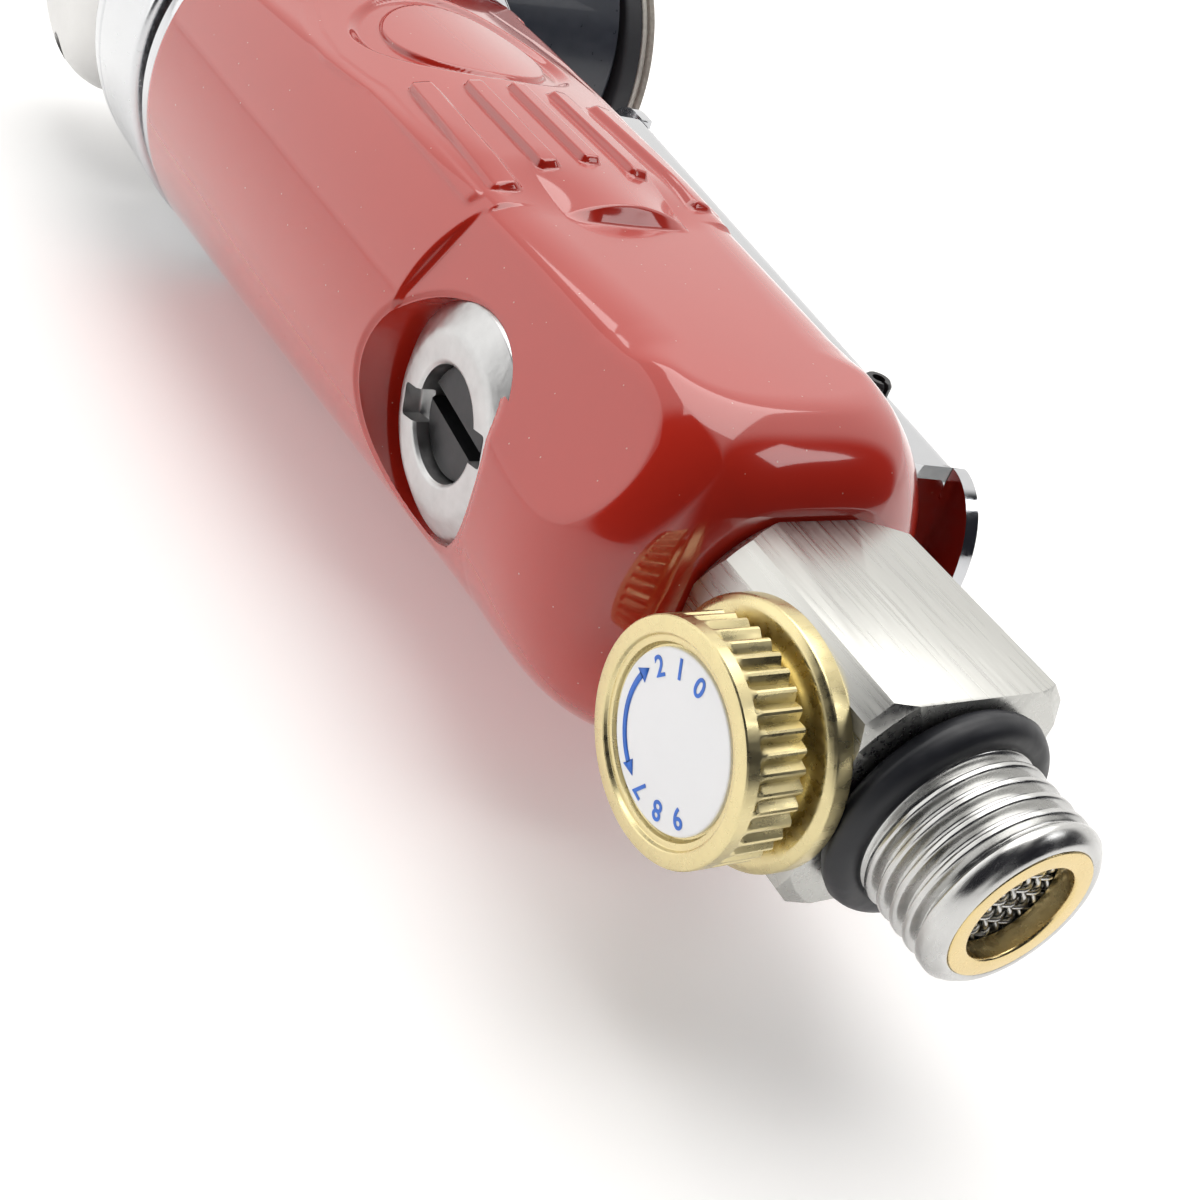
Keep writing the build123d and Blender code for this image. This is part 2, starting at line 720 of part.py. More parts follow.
with BuildPart() as front_end_plate:
    revolve(
        ring(front_plate_front, cylinder_front, plate_radius, rotor_nose_radius + shaft_clearance),
        axis=handle_axis,
    )
    revolve(
        ring(front_plate_front, front_bearing_back, front_bearing_radius),
        axis=handle_axis, mode=Mode.SUBTRACT,
    )
    with BuildSketch(Plane.YZ.offset(front_plate_front)):
        with Locations((0, dowel_z)):
            Circle(dowel_radius)
    extrude(amount=plate_thickness, mode=Mode.SUBTRACT)
finish(front_end_plate.part, "front_end_plate")

with BuildPart() as motor_dowel:
    with BuildSketch(Plane.YZ.offset(front_plate_front)):
        with Locations((0, dowel_z)):
            Circle(dowel_radius)
    extrude(amount=motor_back - front_plate_front)
finish(motor_dowel.part, "motor_dowel")

with BuildPart() as rear_rotor_bearing:
    revolve(
        ring(rear_bearing_front, motor_back, rear_bearing_radius, rotor_shaft_radius + running),
        axis=handle_axis,
    )
finish(rear_rotor_bearing.part, "rear_rotor_bearing")

with BuildPart() as front_rotor_bearing:
    revolve(
        ring(front_plate_front, front_bearing_back, front_bearing_radius, rotor_nose_radius + running),
        axis=handle_axis,
    )
finish(front_rotor_bearing.part, "front_rotor_bearing")

rotor_front = cylinder_front + rotor_end_gap
rotor_length = cylinder_length - 2 * rotor_end_gap
rotor_nose_front = front_plate_front - rotor_nose_length
slot_bottom = rotor_radius - vane_depth

with BuildPart() as rotor:
    revolve(ring(rotor_front, rotor_front + rotor_length, rotor_radius), axis=handle_axis)
    revolve(ring(rotor_front + rotor_length, motor_back - 0.3, rotor_shaft_radius), axis=handle_axis)
    revolve(ring(rotor_nose_front, rotor_front, rotor_nose_radius), axis=handle_axis)
    with BuildSketch(Plane.YZ.offset(rotor_front)):
        with PolarLocations(slot_bottom + vane_depth / 2 + 0.5, vane_count):
            Rectangle(vane_depth + 1, vane_thickness + 0.1)
    extrude(amount=rotor_length, mode=Mode.SUBTRACT)
finish(rotor.part, "rotor")

with BuildPart() as rotor_vanes:
    vane_height = vane_depth - 0.15
    with BuildSketch(Plane.YZ.offset(rotor_front)):
        with PolarLocations(slot_bottom + 0.05 + vane_height / 2, vane_count):
            Rectangle(vane_height, vane_thickness)
    extrude(amount=rotor_length)
finish(rotor_vanes.part, "rotor_vanes")

# ======== clamp nut ========

with BuildPart() as spacer_ring:
    revolve(
        ring(housing_front - spacer_thickness, housing_front, spacer_radius, nose_radius),
        axis=handle_axis,
    )
finish(spacer_ring.part, "spacer_ring")

with BuildPart() as clamp_nut:
    revolve(ring(nut_front, nut_back, nut_radius), axis=handle_axis)
    chamfer(clamp_nut.edges().filter_by(GeomType.CIRCLE), nut_chamfer)
    revolve(ring(flange_front, nut_back, nose_radius), axis=handle_axis, mode=Mode.SUBTRACT)
    revolve(ring(nut_front, flange_front, nut_mouth_radius), axis=handle_axis, mode=Mode.SUBTRACT)
finish(clamp_nut.part, "clamp_nut")

with BuildPart() as clamp_sleeve:
    spigot_back = nose_front + head_spigot_length
    sleeve_bore = pinion_bearing_radius + 0.5
    revolve(ring(spigot_back, front_plate_front, plate_radius, sleeve_bore), axis=handle_axis)
finish(clamp_sleeve.part, "clamp_sleeve")

# ======== bevel gears ========

gear_addendum = 0.75 * gear_module
gear_dedendum = 1.1 * gear_module
tooth_half = 0.2 * pi * gear_module             # half the tooth's thickness at the pitch cone
flank_slope = 0.364                             # tangent of the pressure angle


def bevel_wheel(teeth, mate_teeth, base, hub_length, hub_radius, phase):
    """A straight bevel gear whose cones meet at the base plane's origin, on the plane's Z axis."""
    cone = atan2(teeth, mate_teeth)
    distance = gear_module / 2 * hypot(teeth, mate_teeth)
    scale = (distance - tooth_face) / distance
    along = base.z_dir * cos(cone) + base.x_dir * sin(cone)
    root_radius = distance * sin(cone) - gear_dedendum * cos(cone)
    root_height = distance * cos(cone) + gear_dedendum * sin(cone)
    with BuildPart() as tooth:
        for size in (1.0, scale):
            place = Plane(origin=base.origin + along * distance * size, x_dir=base.y_dir, z_dir=-along)
            root = -(gear_dedendum + 0.15) * size
            tip = gear_addendum * size
            half = tooth_half * size
            with BuildSketch(place):
                with BuildLine():
                    Polyline(
                        (-half + flank_slope * root, root), (-half + flank_slope * tip, tip),
                        (half - flank_slope * tip, tip), (half - flank_slope * root, root),
                        close=True,
                    )
                make_face()
        loft(ruled=True)
    axis = Axis(base.origin, base.z_dir)
    profile_plane = Plane(origin=base.origin, x_dir=base.x_dir, z_dir=-base.y_dir)
    with BuildPart() as wheel:
        with BuildSketch(profile_plane):
            with BuildLine():
                Polyline(
                    (0, root_height * scale), (root_radius * scale, root_height * scale),
                    (root_radius, root_height), (hub_radius, root_height + 0.8),
                    (hub_radius, root_height + hub_length), (0, root_height + hub_length),
                    close=True,
                )
            make_face()
        revolve(axis=axis)
        for index in range(teeth):
            add(tooth.part.rotate(axis, 360 / teeth * (index + phase)))
    return wheel.part


mesh_centre = Vector(head_x, 0, 0)
pinion_plane = Plane(origin=mesh_centre, x_dir=(0, -1, 0), z_dir=(1, 0, 0))
gear_plane = Plane(origin=mesh_centre, x_dir=(1, 0, 0), z_dir=(0, -1, 0))
cone_distance = gear_module / 2 * hypot(pinion_teeth, gear_teeth)
pinion_root = gear_module * gear_teeth / 2 + gear_dedendum * pinion_teeth * gear_module / 2 / cone_distance
gear_root = gear_module * pinion_teeth / 2 + gear_dedendum * gear_teeth * gear_module / 2 / cone_distance
coupling_back = front_plate_front - coupling_gap
coupling_front = coupling_back - coupling_length

with BuildPart() as pinion:
    shoulder = neck_shoulder - 0.2
    hub_length = shoulder - head_x - pinion_root
    add(bevel_wheel(pinion_teeth, gear_teeth, pinion_plane, hub_length, pinion_hub_radius, 0))
    revolve(ring(shoulder, coupling_back, pinion_shaft_radius), axis=handle_axis)
    revolve(ring(coupling_front, coupling_back, coupling_radius), axis=handle_axis)
    revolve(
        ring(rotor_nose_front - 0.5, coupling_back, rotor_nose_radius + seat_gap),
        axis=handle_axis, mode=Mode.SUBTRACT,
    )
finish(pinion.part, "pinion")

bearing_pair = (neck_shoulder, neck_shoulder + pinion_bearing_width + bearing_spacer_length)

with BuildPart() as pinion_bearings:
    for front in bearing_pair:
        revolve(
            ring(front, front + pinion_bearing_width, pinion_bearing_radius, pinion_shaft_radius + running),
            axis=handle_axis,
        )
finish(pinion_bearings.part, "pinion_bearings")

with BuildPart() as bearing_spacer:
    spacer_front = neck_shoulder + pinion_bearing_width
    revolve(
        ring(spacer_front, bearing_pair[1], pinion_bearing_radius, pinion_bearing_radius - clip_ring_width),
        axis=handle_axis,
    )
finish(bearing_spacer.part, "bearing_spacer")

bearings_back = bearing_pair[1] + pinion_bearing_width

with BuildPart() as bearing_clip:
    clip_radius = pinion_bearing_radius + 0.5
    revolve(
        ring(bearings_back, bearings_back + clip_thickness, clip_radius, clip_radius - clip_ring_width),
        axis=handle_axis,
    )
finish(bearing_clip.part, "bearing_clip")

gear_hub_end = -upper_bearing_front - rotor_end_gap

with BuildPart() as bevel_gear:
    add(bevel_wheel(gear_teeth, pinion_teeth, gear_plane, gear_hub_end - gear_root, gear_hub_radius, 0.5))
    revolve(cross_ring(head_x, -gear_hub_end, 0, spindle_middle_radius), axis=head_axis, mode=Mode.SUBTRACT)
finish(bevel_gear.part, "bevel_gear")

# ======== angle head ========

with BuildPart() as angle_head:
    revolve(cross_ring(head_x, -head_back, head_front, head_radius), axis=head_axis)
    fillet(angle_head.edges().filter_by(GeomType.CIRCLE).group_by(Axis.Y)[0], head_back_round)
    revolve(ring(head_x, nose_front, neck_radius), axis=handle_axis)
    revolve(ring(flange_front, nose_front, nose_radius - seat_gap), axis=handle_axis)
    revolve(ring(nose_front, spigot_back, plate_radius), axis=handle_axis)
    head_steps = (
        (upper_bearing_radius, upper_bearing_back, cavity_back),
        (gear_cavity_radius, cavity_back, lower_bearing_back - bearing_land),
        (lower_bearing_radius - bearing_land, lower_bearing_back - bearing_land, lower_bearing_back),
        (lower_bearing_radius, lower_bearing_back, cover_back),
        (cover_radius, cover_back, cover_front + 1),
    )
    head_points = [(head_x, upper_bearing_back)]
    for bore, near, far in head_steps:
        head_points += [(head_x + bore, near), (head_x + bore, far)]
    head_points.append((head_x, cover_front + 1))
    revolve(outline(*head_points), axis=head_axis, mode=Mode.SUBTRACT)
    neck_bores = outline(
        (head_x, 0), (head_x, neck_shoulder_radius), (neck_shoulder, neck_shoulder_radius),
        (neck_shoulder, pinion_bearing_radius), (bearings_back, pinion_bearing_radius),
        (bearings_back, pinion_bearing_radius + 0.5), (spigot_back + 1, pinion_bearing_radius + 0.5),
        (spigot_back + 1, 0),
    )
    revolve(neck_bores, axis=handle_axis, mode=Mode.SUBTRACT)
    # grease hole, down to the gears
    with BuildSketch(across.offset(-head_back)):
        with Locations((head_x, grease_screw_drop)):
            Circle(grease_screw_radius)
    extrude(amount=grease_screw_recess + grease_screw_length, mode=Mode.SUBTRACT)
    with BuildSketch(across.offset(grease_face)):
        with Locations((head_x, grease_screw_drop)):
            Circle(grease_screw_radius / 2)
    extrude(amount=cavity_back - grease_face + 0.5, mode=Mode.SUBTRACT)
finish(angle_head.part, "angle_head")

with BuildPart() as grease_screw:
    with BuildSketch(across.offset(grease_face)):
        with Locations((head_x, grease_screw_drop)):
            Circle(grease_screw_radius)
    extrude(amount=grease_screw_length)
    with BuildSketch(across.offset(grease_face)):
        with Locations((head_x, grease_screw_drop)):
            RegularPolygon(grease_screw_radius * 0.55, 6)
    extrude(amount=grease_screw_length / 2, mode=Mode.SUBTRACT)
finish(grease_screw.part, "grease_screw")

with BuildPart() as head_cover:
    cover_bore = spindle_front_radius + cover_bore_clearance
    revolve(
        cross_ring(head_x, cover_back, cover_front, cover_radius, cover_bore),
        axis=head_axis,
    )
    # two pin holes for the spanner
    with BuildSketch(across.offset(cover_front)):
        with Locations((head_x, 0)):
            with PolarLocations((cover_radius + spindle_front_radius) / 2 + 0.5, 2):
                Circle(spanner_hole_radius)
    extrude(amount=-cover_thickness / 2, mode=Mode.SUBTRACT)
finish(head_cover.part, "head_cover")

# ======== spindle ========

with BuildPart() as upper_spindle_bearing:
    revolve(
        cross_ring(
            head_x, upper_bearing_back, upper_bearing_front,
            upper_bearing_radius, spindle_back_radius + running,
        ),
        axis=head_axis,
    )
finish(upper_spindle_bearing.part, "upper_spindle_bearing")

with BuildPart() as lower_spindle_bearing:
    revolve(
        cross_ring(
            head_x, lower_bearing_back, cover_back, lower_bearing_radius, spindle_front_radius + running,
        ),
        axis=head_axis,
    )
finish(lower_spindle_bearing.part, "lower_spindle_bearing")

with BuildPart() as spindle:
    shoulder_y = -(gear_module * pinion_teeth / 2) * (1 - tooth_face / cone_distance)
    spindle_steps = (
        (spindle_back_radius, upper_bearing_back + slip, upper_bearing_front + rotor_end_gap),
        (spindle_middle_radius, upper_bearing_front + rotor_end_gap, shoulder_y),
        (spindle_middle_radius + 0.8, shoulder_y, lower_bearing_back - 0.5),
        (spindle_front_radius, lower_bearing_back - 0.5, weight_back),
    )
    spindle_points = [(head_x, upper_bearing_back + slip)]
    for shaft, near, far in spindle_steps:
        spindle_points += [(head_x + shaft, near), (head_x + shaft, far)]
    spindle_points.append((head_x, weight_back))
    revolve(outline(*spindle_points), axis=head_axis)
finish(spindle.part, "spindle")

# ======== eccentric ========

cup_end = weight_front + 2 * pad_bearing_width + pad_bearing_gap + clip_thickness + 0.6

with BuildPart() as eccentric:
    revolve(cross_ring(head_x, weight_back, weight_front, cup_radius), axis=head_axis)
    # the balance weight lies opposite the offset cup
    with BuildSketch(across.offset(weight_back)):
        with Locations((head_x, 0)):
            Circle(counterweight_radius)
        with Locations((head_x, counterweight_radius)):
            Rectangle(2 * counterweight_radius, 2 * counterweight_radius, mode=Mode.SUBTRACT)
    extrude(amount=counterweight_thickness)
    with BuildSketch(across.offset(weight_front)):
        with Locations((head_x, orbit_offset)):
            Circle(cup_radius)
    extrude(amount=cup_end - weight_front)
    with BuildSketch(across.offset(weight_front)):
        with Locations((head_x, orbit_offset)):
            Circle(pad_bearing_radius)
    extrude(amount=cup_end - weight_front, mode=Mode.SUBTRACT)
finish(eccentric.part, "eccentric")

with BuildPart() as pad_bearings:
    pad_bearing_pitch = pad_bearing_width + pad_bearing_gap
    for back in (weight_front, weight_front + pad_bearing_pitch):
        with BuildSketch(across.offset(back)):
            with Locations((head_x, orbit_offset)):
                Circle(pad_bearing_radius)
                Circle(pad_stud_radius + running, mode=Mode.SUBTRACT)
        extrude(amount=pad_bearing_width)
finish(pad_bearings.part, "pad_bearings")

bearing_end = weight_front + 2 * pad_bearing_width + pad_bearing_gap

with BuildPart() as pad_bearing_clip:
    with BuildSketch(across.offset(bearing_end)):
        with Locations((head_x, orbit_offset)):
            Circle(pad_bearing_radius)
            Circle(pad_bearing_radius - clip_ring_width, mode=Mode.SUBTRACT)
            with Locations((0, pad_bearing_radius)):
                Rectangle(3, 2 * clip_ring_width + 1, mode=Mode.SUBTRACT)
    extrude(amount=clip_thickness)
finish(pad_bearing_clip.part, "pad_bearing_clip")

# ======== sanding pad ========

plate_back = pad_back - pad_plate_thickness

with BuildPart() as pad_stud:
    with BuildSketch(across.offset(weight_front + slip)):
        with Locations((head_x, orbit_offset)):
            Circle(pad_stud_radius)
    extrude(amount=bearing_end - weight_front)
    with BuildSketch(across.offset(bearing_end + slip)):
        with Locations((head_x, orbit_offset)):
            Circle(pad_stud_radius + stud_flange)
    extrude(amount=plate_back - bearing_end - slip)
    # flats for the pad spanner
    flat_back = cup_end + spanner_flat_margin
    flat_length = plate_back - flat_back - spanner_flat_margin
    with BuildSketch(across.offset(flat_back)):
        with Locations((head_x, orbit_offset)):
            Circle(pad_stud_radius + 2)
            Rectangle(2 * pad_stud_radius, 4 * pad_stud_radius, mode=Mode.SUBTRACT)
    extrude(amount=flat_length, mode=Mode.SUBTRACT)
finish(pad_stud.part, "pad_stud")

with BuildPart() as pad_plate:
    with BuildSketch(across.offset(plate_back)):
        with Locations((head_x, orbit_offset)):
            Circle(pad_plate_radius)
    extrude(amount=pad_plate_thickness)
finish(pad_plate.part, "pad_plate")

with BuildPart() as pad:
    with BuildSketch(across.offset(pad_back)):
        with Locations((head_x, orbit_offset)):
            Circle(pad_radius)
    extrude(amount=pad_thickness)
finish(pad.part, "pad")

with BuildPart() as hook_layer:
    with BuildSketch(across.offset(hook_back)):
        with Locations((head_x, orbit_offset)):
            Circle(pad_radius)
    extrude(amount=hook_thickness)
finish(hook_layer.part, "hook_layer")

with BuildPart() as abrasive_disc:
    with BuildSketch(across.offset(abrasive_back)):
        with Locations((head_x, orbit_offset)):
            Circle(abrasive_radius)
    extrude(amount=abrasive_thickness)
finish(abrasive_disc.part, "abrasive_disc")

with BuildPart() as guard:
    revolve(cross_ring(head_x, guard_back, guard_end, guard_radius, head_radius + seat_gap), axis=head_axis)
finish(guard.part, "guard")
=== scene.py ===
from math import cos, pi, radians, sin, sqrt

import bmesh
import bpy
import numpy as np
from mathutils import Matrix, Vector


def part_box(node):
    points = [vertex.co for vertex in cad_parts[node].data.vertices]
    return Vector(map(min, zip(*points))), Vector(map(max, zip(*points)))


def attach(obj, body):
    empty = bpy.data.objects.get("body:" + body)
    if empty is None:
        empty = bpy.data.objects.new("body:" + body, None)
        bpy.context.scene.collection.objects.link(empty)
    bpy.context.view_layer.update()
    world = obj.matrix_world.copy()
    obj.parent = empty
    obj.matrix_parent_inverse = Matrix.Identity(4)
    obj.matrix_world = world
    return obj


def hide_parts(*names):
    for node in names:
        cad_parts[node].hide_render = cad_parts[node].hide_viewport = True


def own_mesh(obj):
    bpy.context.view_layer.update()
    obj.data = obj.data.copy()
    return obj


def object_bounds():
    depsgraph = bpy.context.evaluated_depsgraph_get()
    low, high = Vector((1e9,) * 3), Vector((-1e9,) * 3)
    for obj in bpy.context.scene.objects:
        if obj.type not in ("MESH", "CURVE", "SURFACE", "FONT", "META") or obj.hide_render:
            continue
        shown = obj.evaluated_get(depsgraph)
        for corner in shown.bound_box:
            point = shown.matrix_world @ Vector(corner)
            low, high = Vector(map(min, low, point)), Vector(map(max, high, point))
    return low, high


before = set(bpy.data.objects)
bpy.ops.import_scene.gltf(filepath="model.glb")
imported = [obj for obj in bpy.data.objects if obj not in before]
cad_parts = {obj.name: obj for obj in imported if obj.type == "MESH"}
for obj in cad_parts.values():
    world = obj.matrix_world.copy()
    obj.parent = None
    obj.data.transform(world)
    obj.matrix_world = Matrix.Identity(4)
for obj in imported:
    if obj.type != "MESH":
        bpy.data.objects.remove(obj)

cad_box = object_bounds()

# ======== the stand: camera, light and floor ========
# The sander lies on a white table, seen from behind the air inlet and from the regulator's side.
# The room is bright and even all round, and darker behind the viewer, with one soft lamp overhead.

MM = 0.001

camera_right = Vector((0.46198, 0.82864, 0.31612))
camera_down = Vector((0.62367, -0.05011, -0.78008))
camera_ahead = Vector((-0.63056, 0.55754, -0.53995))
camera_place = Vector((45.15, -73.99, 59.13)) * MM


def add_object(name, data):
    """A new object of the scene made from a mesh, a lens or a lamp."""
    item = bpy.data.objects.new(name, data)
    bpy.context.scene.collection.objects.link(item)
    return item


camera_data = bpy.data.cameras.new("camera")
camera_data.sensor_width = 36.0
camera_data.lens = 48.9
camera_data.clip_start = 0.005
camera = add_object("camera", camera_data)
turn = Matrix((camera_right, -camera_down, -camera_ahead)).transposed()
camera.matrix_world = Matrix.Translation(camera_place) @ turn.to_4x4()
bpy.context.scene.camera = camera

floor_height = cad_box[0][2]
floor_reach = 3.0
floor_mesh = bpy.data.meshes.new("table")
floor_corners = [
    (-floor_reach, -floor_reach, floor_height), (floor_reach, -floor_reach, floor_height),
    (floor_reach, floor_reach, floor_height), (-floor_reach, floor_reach, floor_height),
]
floor_mesh.from_pydata(floor_corners, [], [(0, 1, 2, 3)])
floor = add_object("table", floor_mesh)

floor_material = bpy.data.materials.new("white_table")
floor_material.use_nodes = True
floor_shader = floor_material.node_tree.nodes["Principled BSDF"]
floor_shader.inputs["Base Color"].default_value = (0.96, 0.955, 0.95, 1)
floor_shader.inputs["Roughness"].default_value = 0.6
floor_shader.inputs["Emission Color"].default_value = (1.0, 1.0, 1.0, 1)
floor_shader.inputs["Emission Strength"].default_value = 0.21
floor_mesh.materials.append(floor_material)


def add_node(tree, kind, sockets, **settings):
    """A new shader node with its settings, and then its input sockets, given their values."""
    node = tree.nodes.new(kind)
    for setting, value in settings.items():
        setattr(node, setting, value)
    for socket, value in sockets.items():
        node.inputs[socket].default_value = value
    return node


def wire_up(tree, *leads):
    """Joins nodes: each lead is a node, its output, another node and its input."""
    for source, outlet, target, inlet in leads:
        tree.links.new(source.outputs[outlet], target.inputs[inlet])


# the room's light, bright on every side but two: behind the viewer, and a corner to the viewer's right
world = bpy.data.worlds.new("room")
world.use_nodes = True
room = world.node_tree
room_sky = room.nodes["Background"]
room_sky.inputs["Strength"].default_value = 1.06
room_direction = room.nodes.new("ShaderNodeTexCoord")
room_behind = add_node(room, "ShaderNodeVectorMath", {1: (0.40, -0.68, 0.61)}, operation="DOT_PRODUCT")
room_corner = add_node(room, "ShaderNodeVectorMath", {1: (0.80, 0.48, 0.36)}, operation="DOT_PRODUCT")
room_either = add_node(room, "ShaderNodeMath", {}, operation="MAXIMUM")
room_shade = room.nodes.new("ShaderNodeValToRGB")
room_shade.color_ramp.interpolation = "EASE"
bright_end, dark_end = room_shade.color_ramp.elements
bright_end.position = 0.64
bright_end.color = (1.0, 0.985, 0.96, 1)
dark_end.position = 0.80
dark_end.color = (0.02, 0.02, 0.025, 1)
wire_up(room, (room_direction, "Generated", room_behind, 0), (room_direction, "Generated", room_corner, 0),
        (room_behind, "Value", room_either, 0), (room_corner, "Value", room_either, 1),
        (room_either, "Value", room_shade, "Fac"), (room_shade, "Color", room_sky, "Color"))
bpy.context.scene.world = world


def soft_lamp(name, place, aim, width, power, tint=(1, 1, 1)):
    """A square softbox at place, in metres, turned to aim."""
    data = bpy.data.lights.new(name, "AREA")
    data.shape = "SQUARE"
    data.size = width
    data.energy = power
    data.color = tint
    lamp = add_object(name, data)
    lamp.location = place
    lamp.rotation_euler = (Vector(aim) - Vector(place)).to_track_quat("-Z", "Y").to_euler()


tool_middle = (-0.06, 0.0, 0.0)
soft_lamp("overhead", (-0.20, 0.10, 0.62), tool_middle, 0.60, 2.6, (1.0, 0.99, 0.97))
soft_lamp("window", (0.25, 0.35, 0.42), tool_middle, 0.16, 0.22)
soft_lamp("fill", (-0.42, -0.46, 0.26), tool_middle, 0.60, 0.55)

bpy.context.scene.view_settings.view_transform = "Standard"

# ======== inlet bar ========
# A length of square aluminium bar, milled flat, with its long corners bevelled and the corners of
# both ends turned off. Its rear end is the G 1/4 male thread, and its front end screws into the housing.

bar_front = -20.8 * MM
bar_rear = -2.6 * MM
bar_half = 8.5 * MM
bar_corner = 1.5 * MM


def rounded(points, steps=4):
    """The outline through (along, radius, rounding) points, with each corner turned to its rounding."""
    outline = []
    for index, (along, radius, rounding) in enumerate(points):
        here = np.array((along, radius))
        if rounding <= 0 or index in (0, len(points) - 1):
            outline.append(tuple(here))
            continue
        back = np.array(points[index - 1][:2]) - here
        ahead = np.array(points[index + 1][:2]) - here
        reach = min(rounding, 0.48 * np.linalg.norm(back), 0.48 * np.linalg.norm(ahead))
        start = here + back / np.linalg.norm(back) * reach
        end = here + ahead / np.linalg.norm(ahead) * reach
        for step in range(steps + 1):
            t = step / steps
            outline.append(tuple((1 - t) ** 2 * start + 2 * t * (1 - t) * here + t * t * end))
    return outline


def lay_piece(name, vertices, faces, body, material, sharp=35.0):
    """A mesh object made from points in metres, riding on a body of the tool."""
    mesh = bpy.data.meshes.new(name)
    mesh.from_pydata([tuple(v) for v in vertices], [], faces)
    shape = bmesh.new()
    shape.from_mesh(mesh)
    bmesh.ops.remove_doubles(shape, verts=shape.verts, dist=1e-7)
    bmesh.ops.recalc_face_normals(shape, faces=shape.faces)
    shape.to_mesh(mesh)
    shape.free()
    mesh.shade_smooth()
    mesh.set_sharp_from_angle(angle=radians(sharp))
    mesh.materials.append(material)
    piece = add_object(name, mesh)
    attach(piece, body)
    return piece


def band_faces(rows, columns, closed=False):
    """The faces between neighbouring rings of points, laid row after row."""
    faces = []
    for row in range(rows if closed else rows - 1):
        low = row * columns
        high = (row + 1) % rows * columns
        for column in range(columns):
            beside = (column + 1) % columns
            faces.append((low + column, low + beside, high + beside, high + column))
    return faces


def turned(name, points, centre, axis, body, material, segments=128, closed=False, sharp=35.0):
    """A lathe-turned piece. points run as (along, radius, rounding) in mm from centre, in mm, on axis."""
    outline = rounded(points) if not closed else rounded(points + points[:1])[:-1]
    axis = Vector(axis).normalized()
    side = axis.orthogonal().normalized()
    other = axis.cross(side)
    vertices = []
    for along, radius in outline:
        for turn_index in range(segments):
            angle = 2 * pi * turn_index / segments
            arm = side * cos(angle) + other * sin(angle)
            vertices.append((Vector(centre) + axis * along + arm * max(radius, 0)) * MM)
    return lay_piece(name, vertices, band_faces(len(outline), segments, closed), body, material, sharp)


def metal(name, colour, roughness, grain=1400.0, stretch=(1, 1, 1), grain_depth=0.02, mottle=0.08,
          mottle_grain=160.0, metallic=1.0, coat=0.0):
    """A metal finish: a base colour with soft mottling, and fine grain in its roughness and bump."""
    material = bpy.data.materials.new(name)
    material.use_nodes = True
    tree = material.node_tree
    shader = tree.nodes["Principled BSDF"]
    shader.inputs["Metallic"].default_value = metallic
    shader.inputs["Coat Weight"].default_value = coat
    place = tree.nodes.new("ShaderNodeTexCoord")
    stretched = add_node(tree, "ShaderNodeMapping", {"Scale": stretch})
    fine = add_node(tree, "ShaderNodeTexNoise", {"Scale": grain, "Detail": 5.0})
    broad = add_node(tree, "ShaderNodeTexNoise", {"Scale": mottle_grain, "Detail": 3.0})
    darker = tuple(c * (1 - mottle) for c in colour) + (1,)
    lighter = tuple(min(1.0, c * (1 + mottle)) for c in colour) + (1,)
    shade = add_node(tree, "ShaderNodeMix", {"A": darker, "B": lighter}, data_type="RGBA")
    blend = add_node(tree, "ShaderNodeMath", {1: 0.5}, operation="MULTIPLY_ADD")
    half = add_node(tree, "ShaderNodeMath", {1: 0.5}, operation="MULTIPLY")
    rough = add_node(tree, "ShaderNodeMapRange", {
        "From Min": 0.3, "From Max": 0.7, "To Min": max(0.02, roughness - 0.07), "To Max": roughness + 0.08})
    bump = add_node(tree, "ShaderNodeBump", {"Strength": 0.6, "Distance": grain_depth * MM})
    wire_up(tree, (place, "Object", stretched, "Vector"), (stretched, "Vector", fine, "Vector"),
            (place, "Object", broad, "Vector"), (broad, "Fac", half, 0), (fine, "Fac", blend, 0),
            (half, "Value", blend, 2), (blend, "Value", shade, "Factor"),
            (shade, "Result", shader, "Base Color"),
            (fine, "Fac", rough, "Value"), (rough, "Result", shader, "Roughness"),
            (fine, "Fac", bump, "Height"), (bump, "Normal", shader, "Normal"))
    return material


def from_shape(name, shape):
    """Turns a finished shape into an object of the scene."""
    mesh = bpy.data.meshes.new(name)
    shape.to_mesh(mesh)
    shape.free()
    return add_object(name, mesh)


def settled_mesh(piece):
    """The mesh of a piece with its modifiers worked in."""
    return bpy.data.meshes.new_from_object(piece.evaluated_get(bpy.context.evaluated_depsgraph_get()))


def break_edges(piece, width, least_angle):
    """Takes the sharpness off a piece's edges."""
    softened = piece.modifiers.new("edge_break", "BEVEL")
    softened.width = width * MM
    softened.segments = 2
    softened.limit_method = "ANGLE"
    softened.angle_limit = radians(least_angle)


brushed_bar = metal("brushed_aluminium", (0.56, 0.56, 0.535), 0.30, grain=2600, stretch=(0.04, 1, 1),
                    grain_depth=0.012, mottle=0.16, mottle_grain=90)

bar_shape = bmesh.new()
bmesh.ops.create_cube(bar_shape, size=1.0)
bmesh.ops.scale(bar_shape, vec=(bar_rear - bar_front, 2 * bar_half, 2 * bar_half), verts=bar_shape.verts)
bmesh.ops.translate(bar_shape, vec=((bar_rear + bar_front) / 2, 0, 0), verts=bar_shape.verts)
long_edges = [e for e in bar_shape.edges if abs(e.verts[0].co.x - e.verts[1].co.x) > bar_half]
bmesh.ops.bevel(bar_shape, geom=long_edges, offset=bar_corner, segments=1, affect="EDGES")
bar_body = from_shape("inlet_bar_body", bar_shape)
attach(bar_body, "handle")

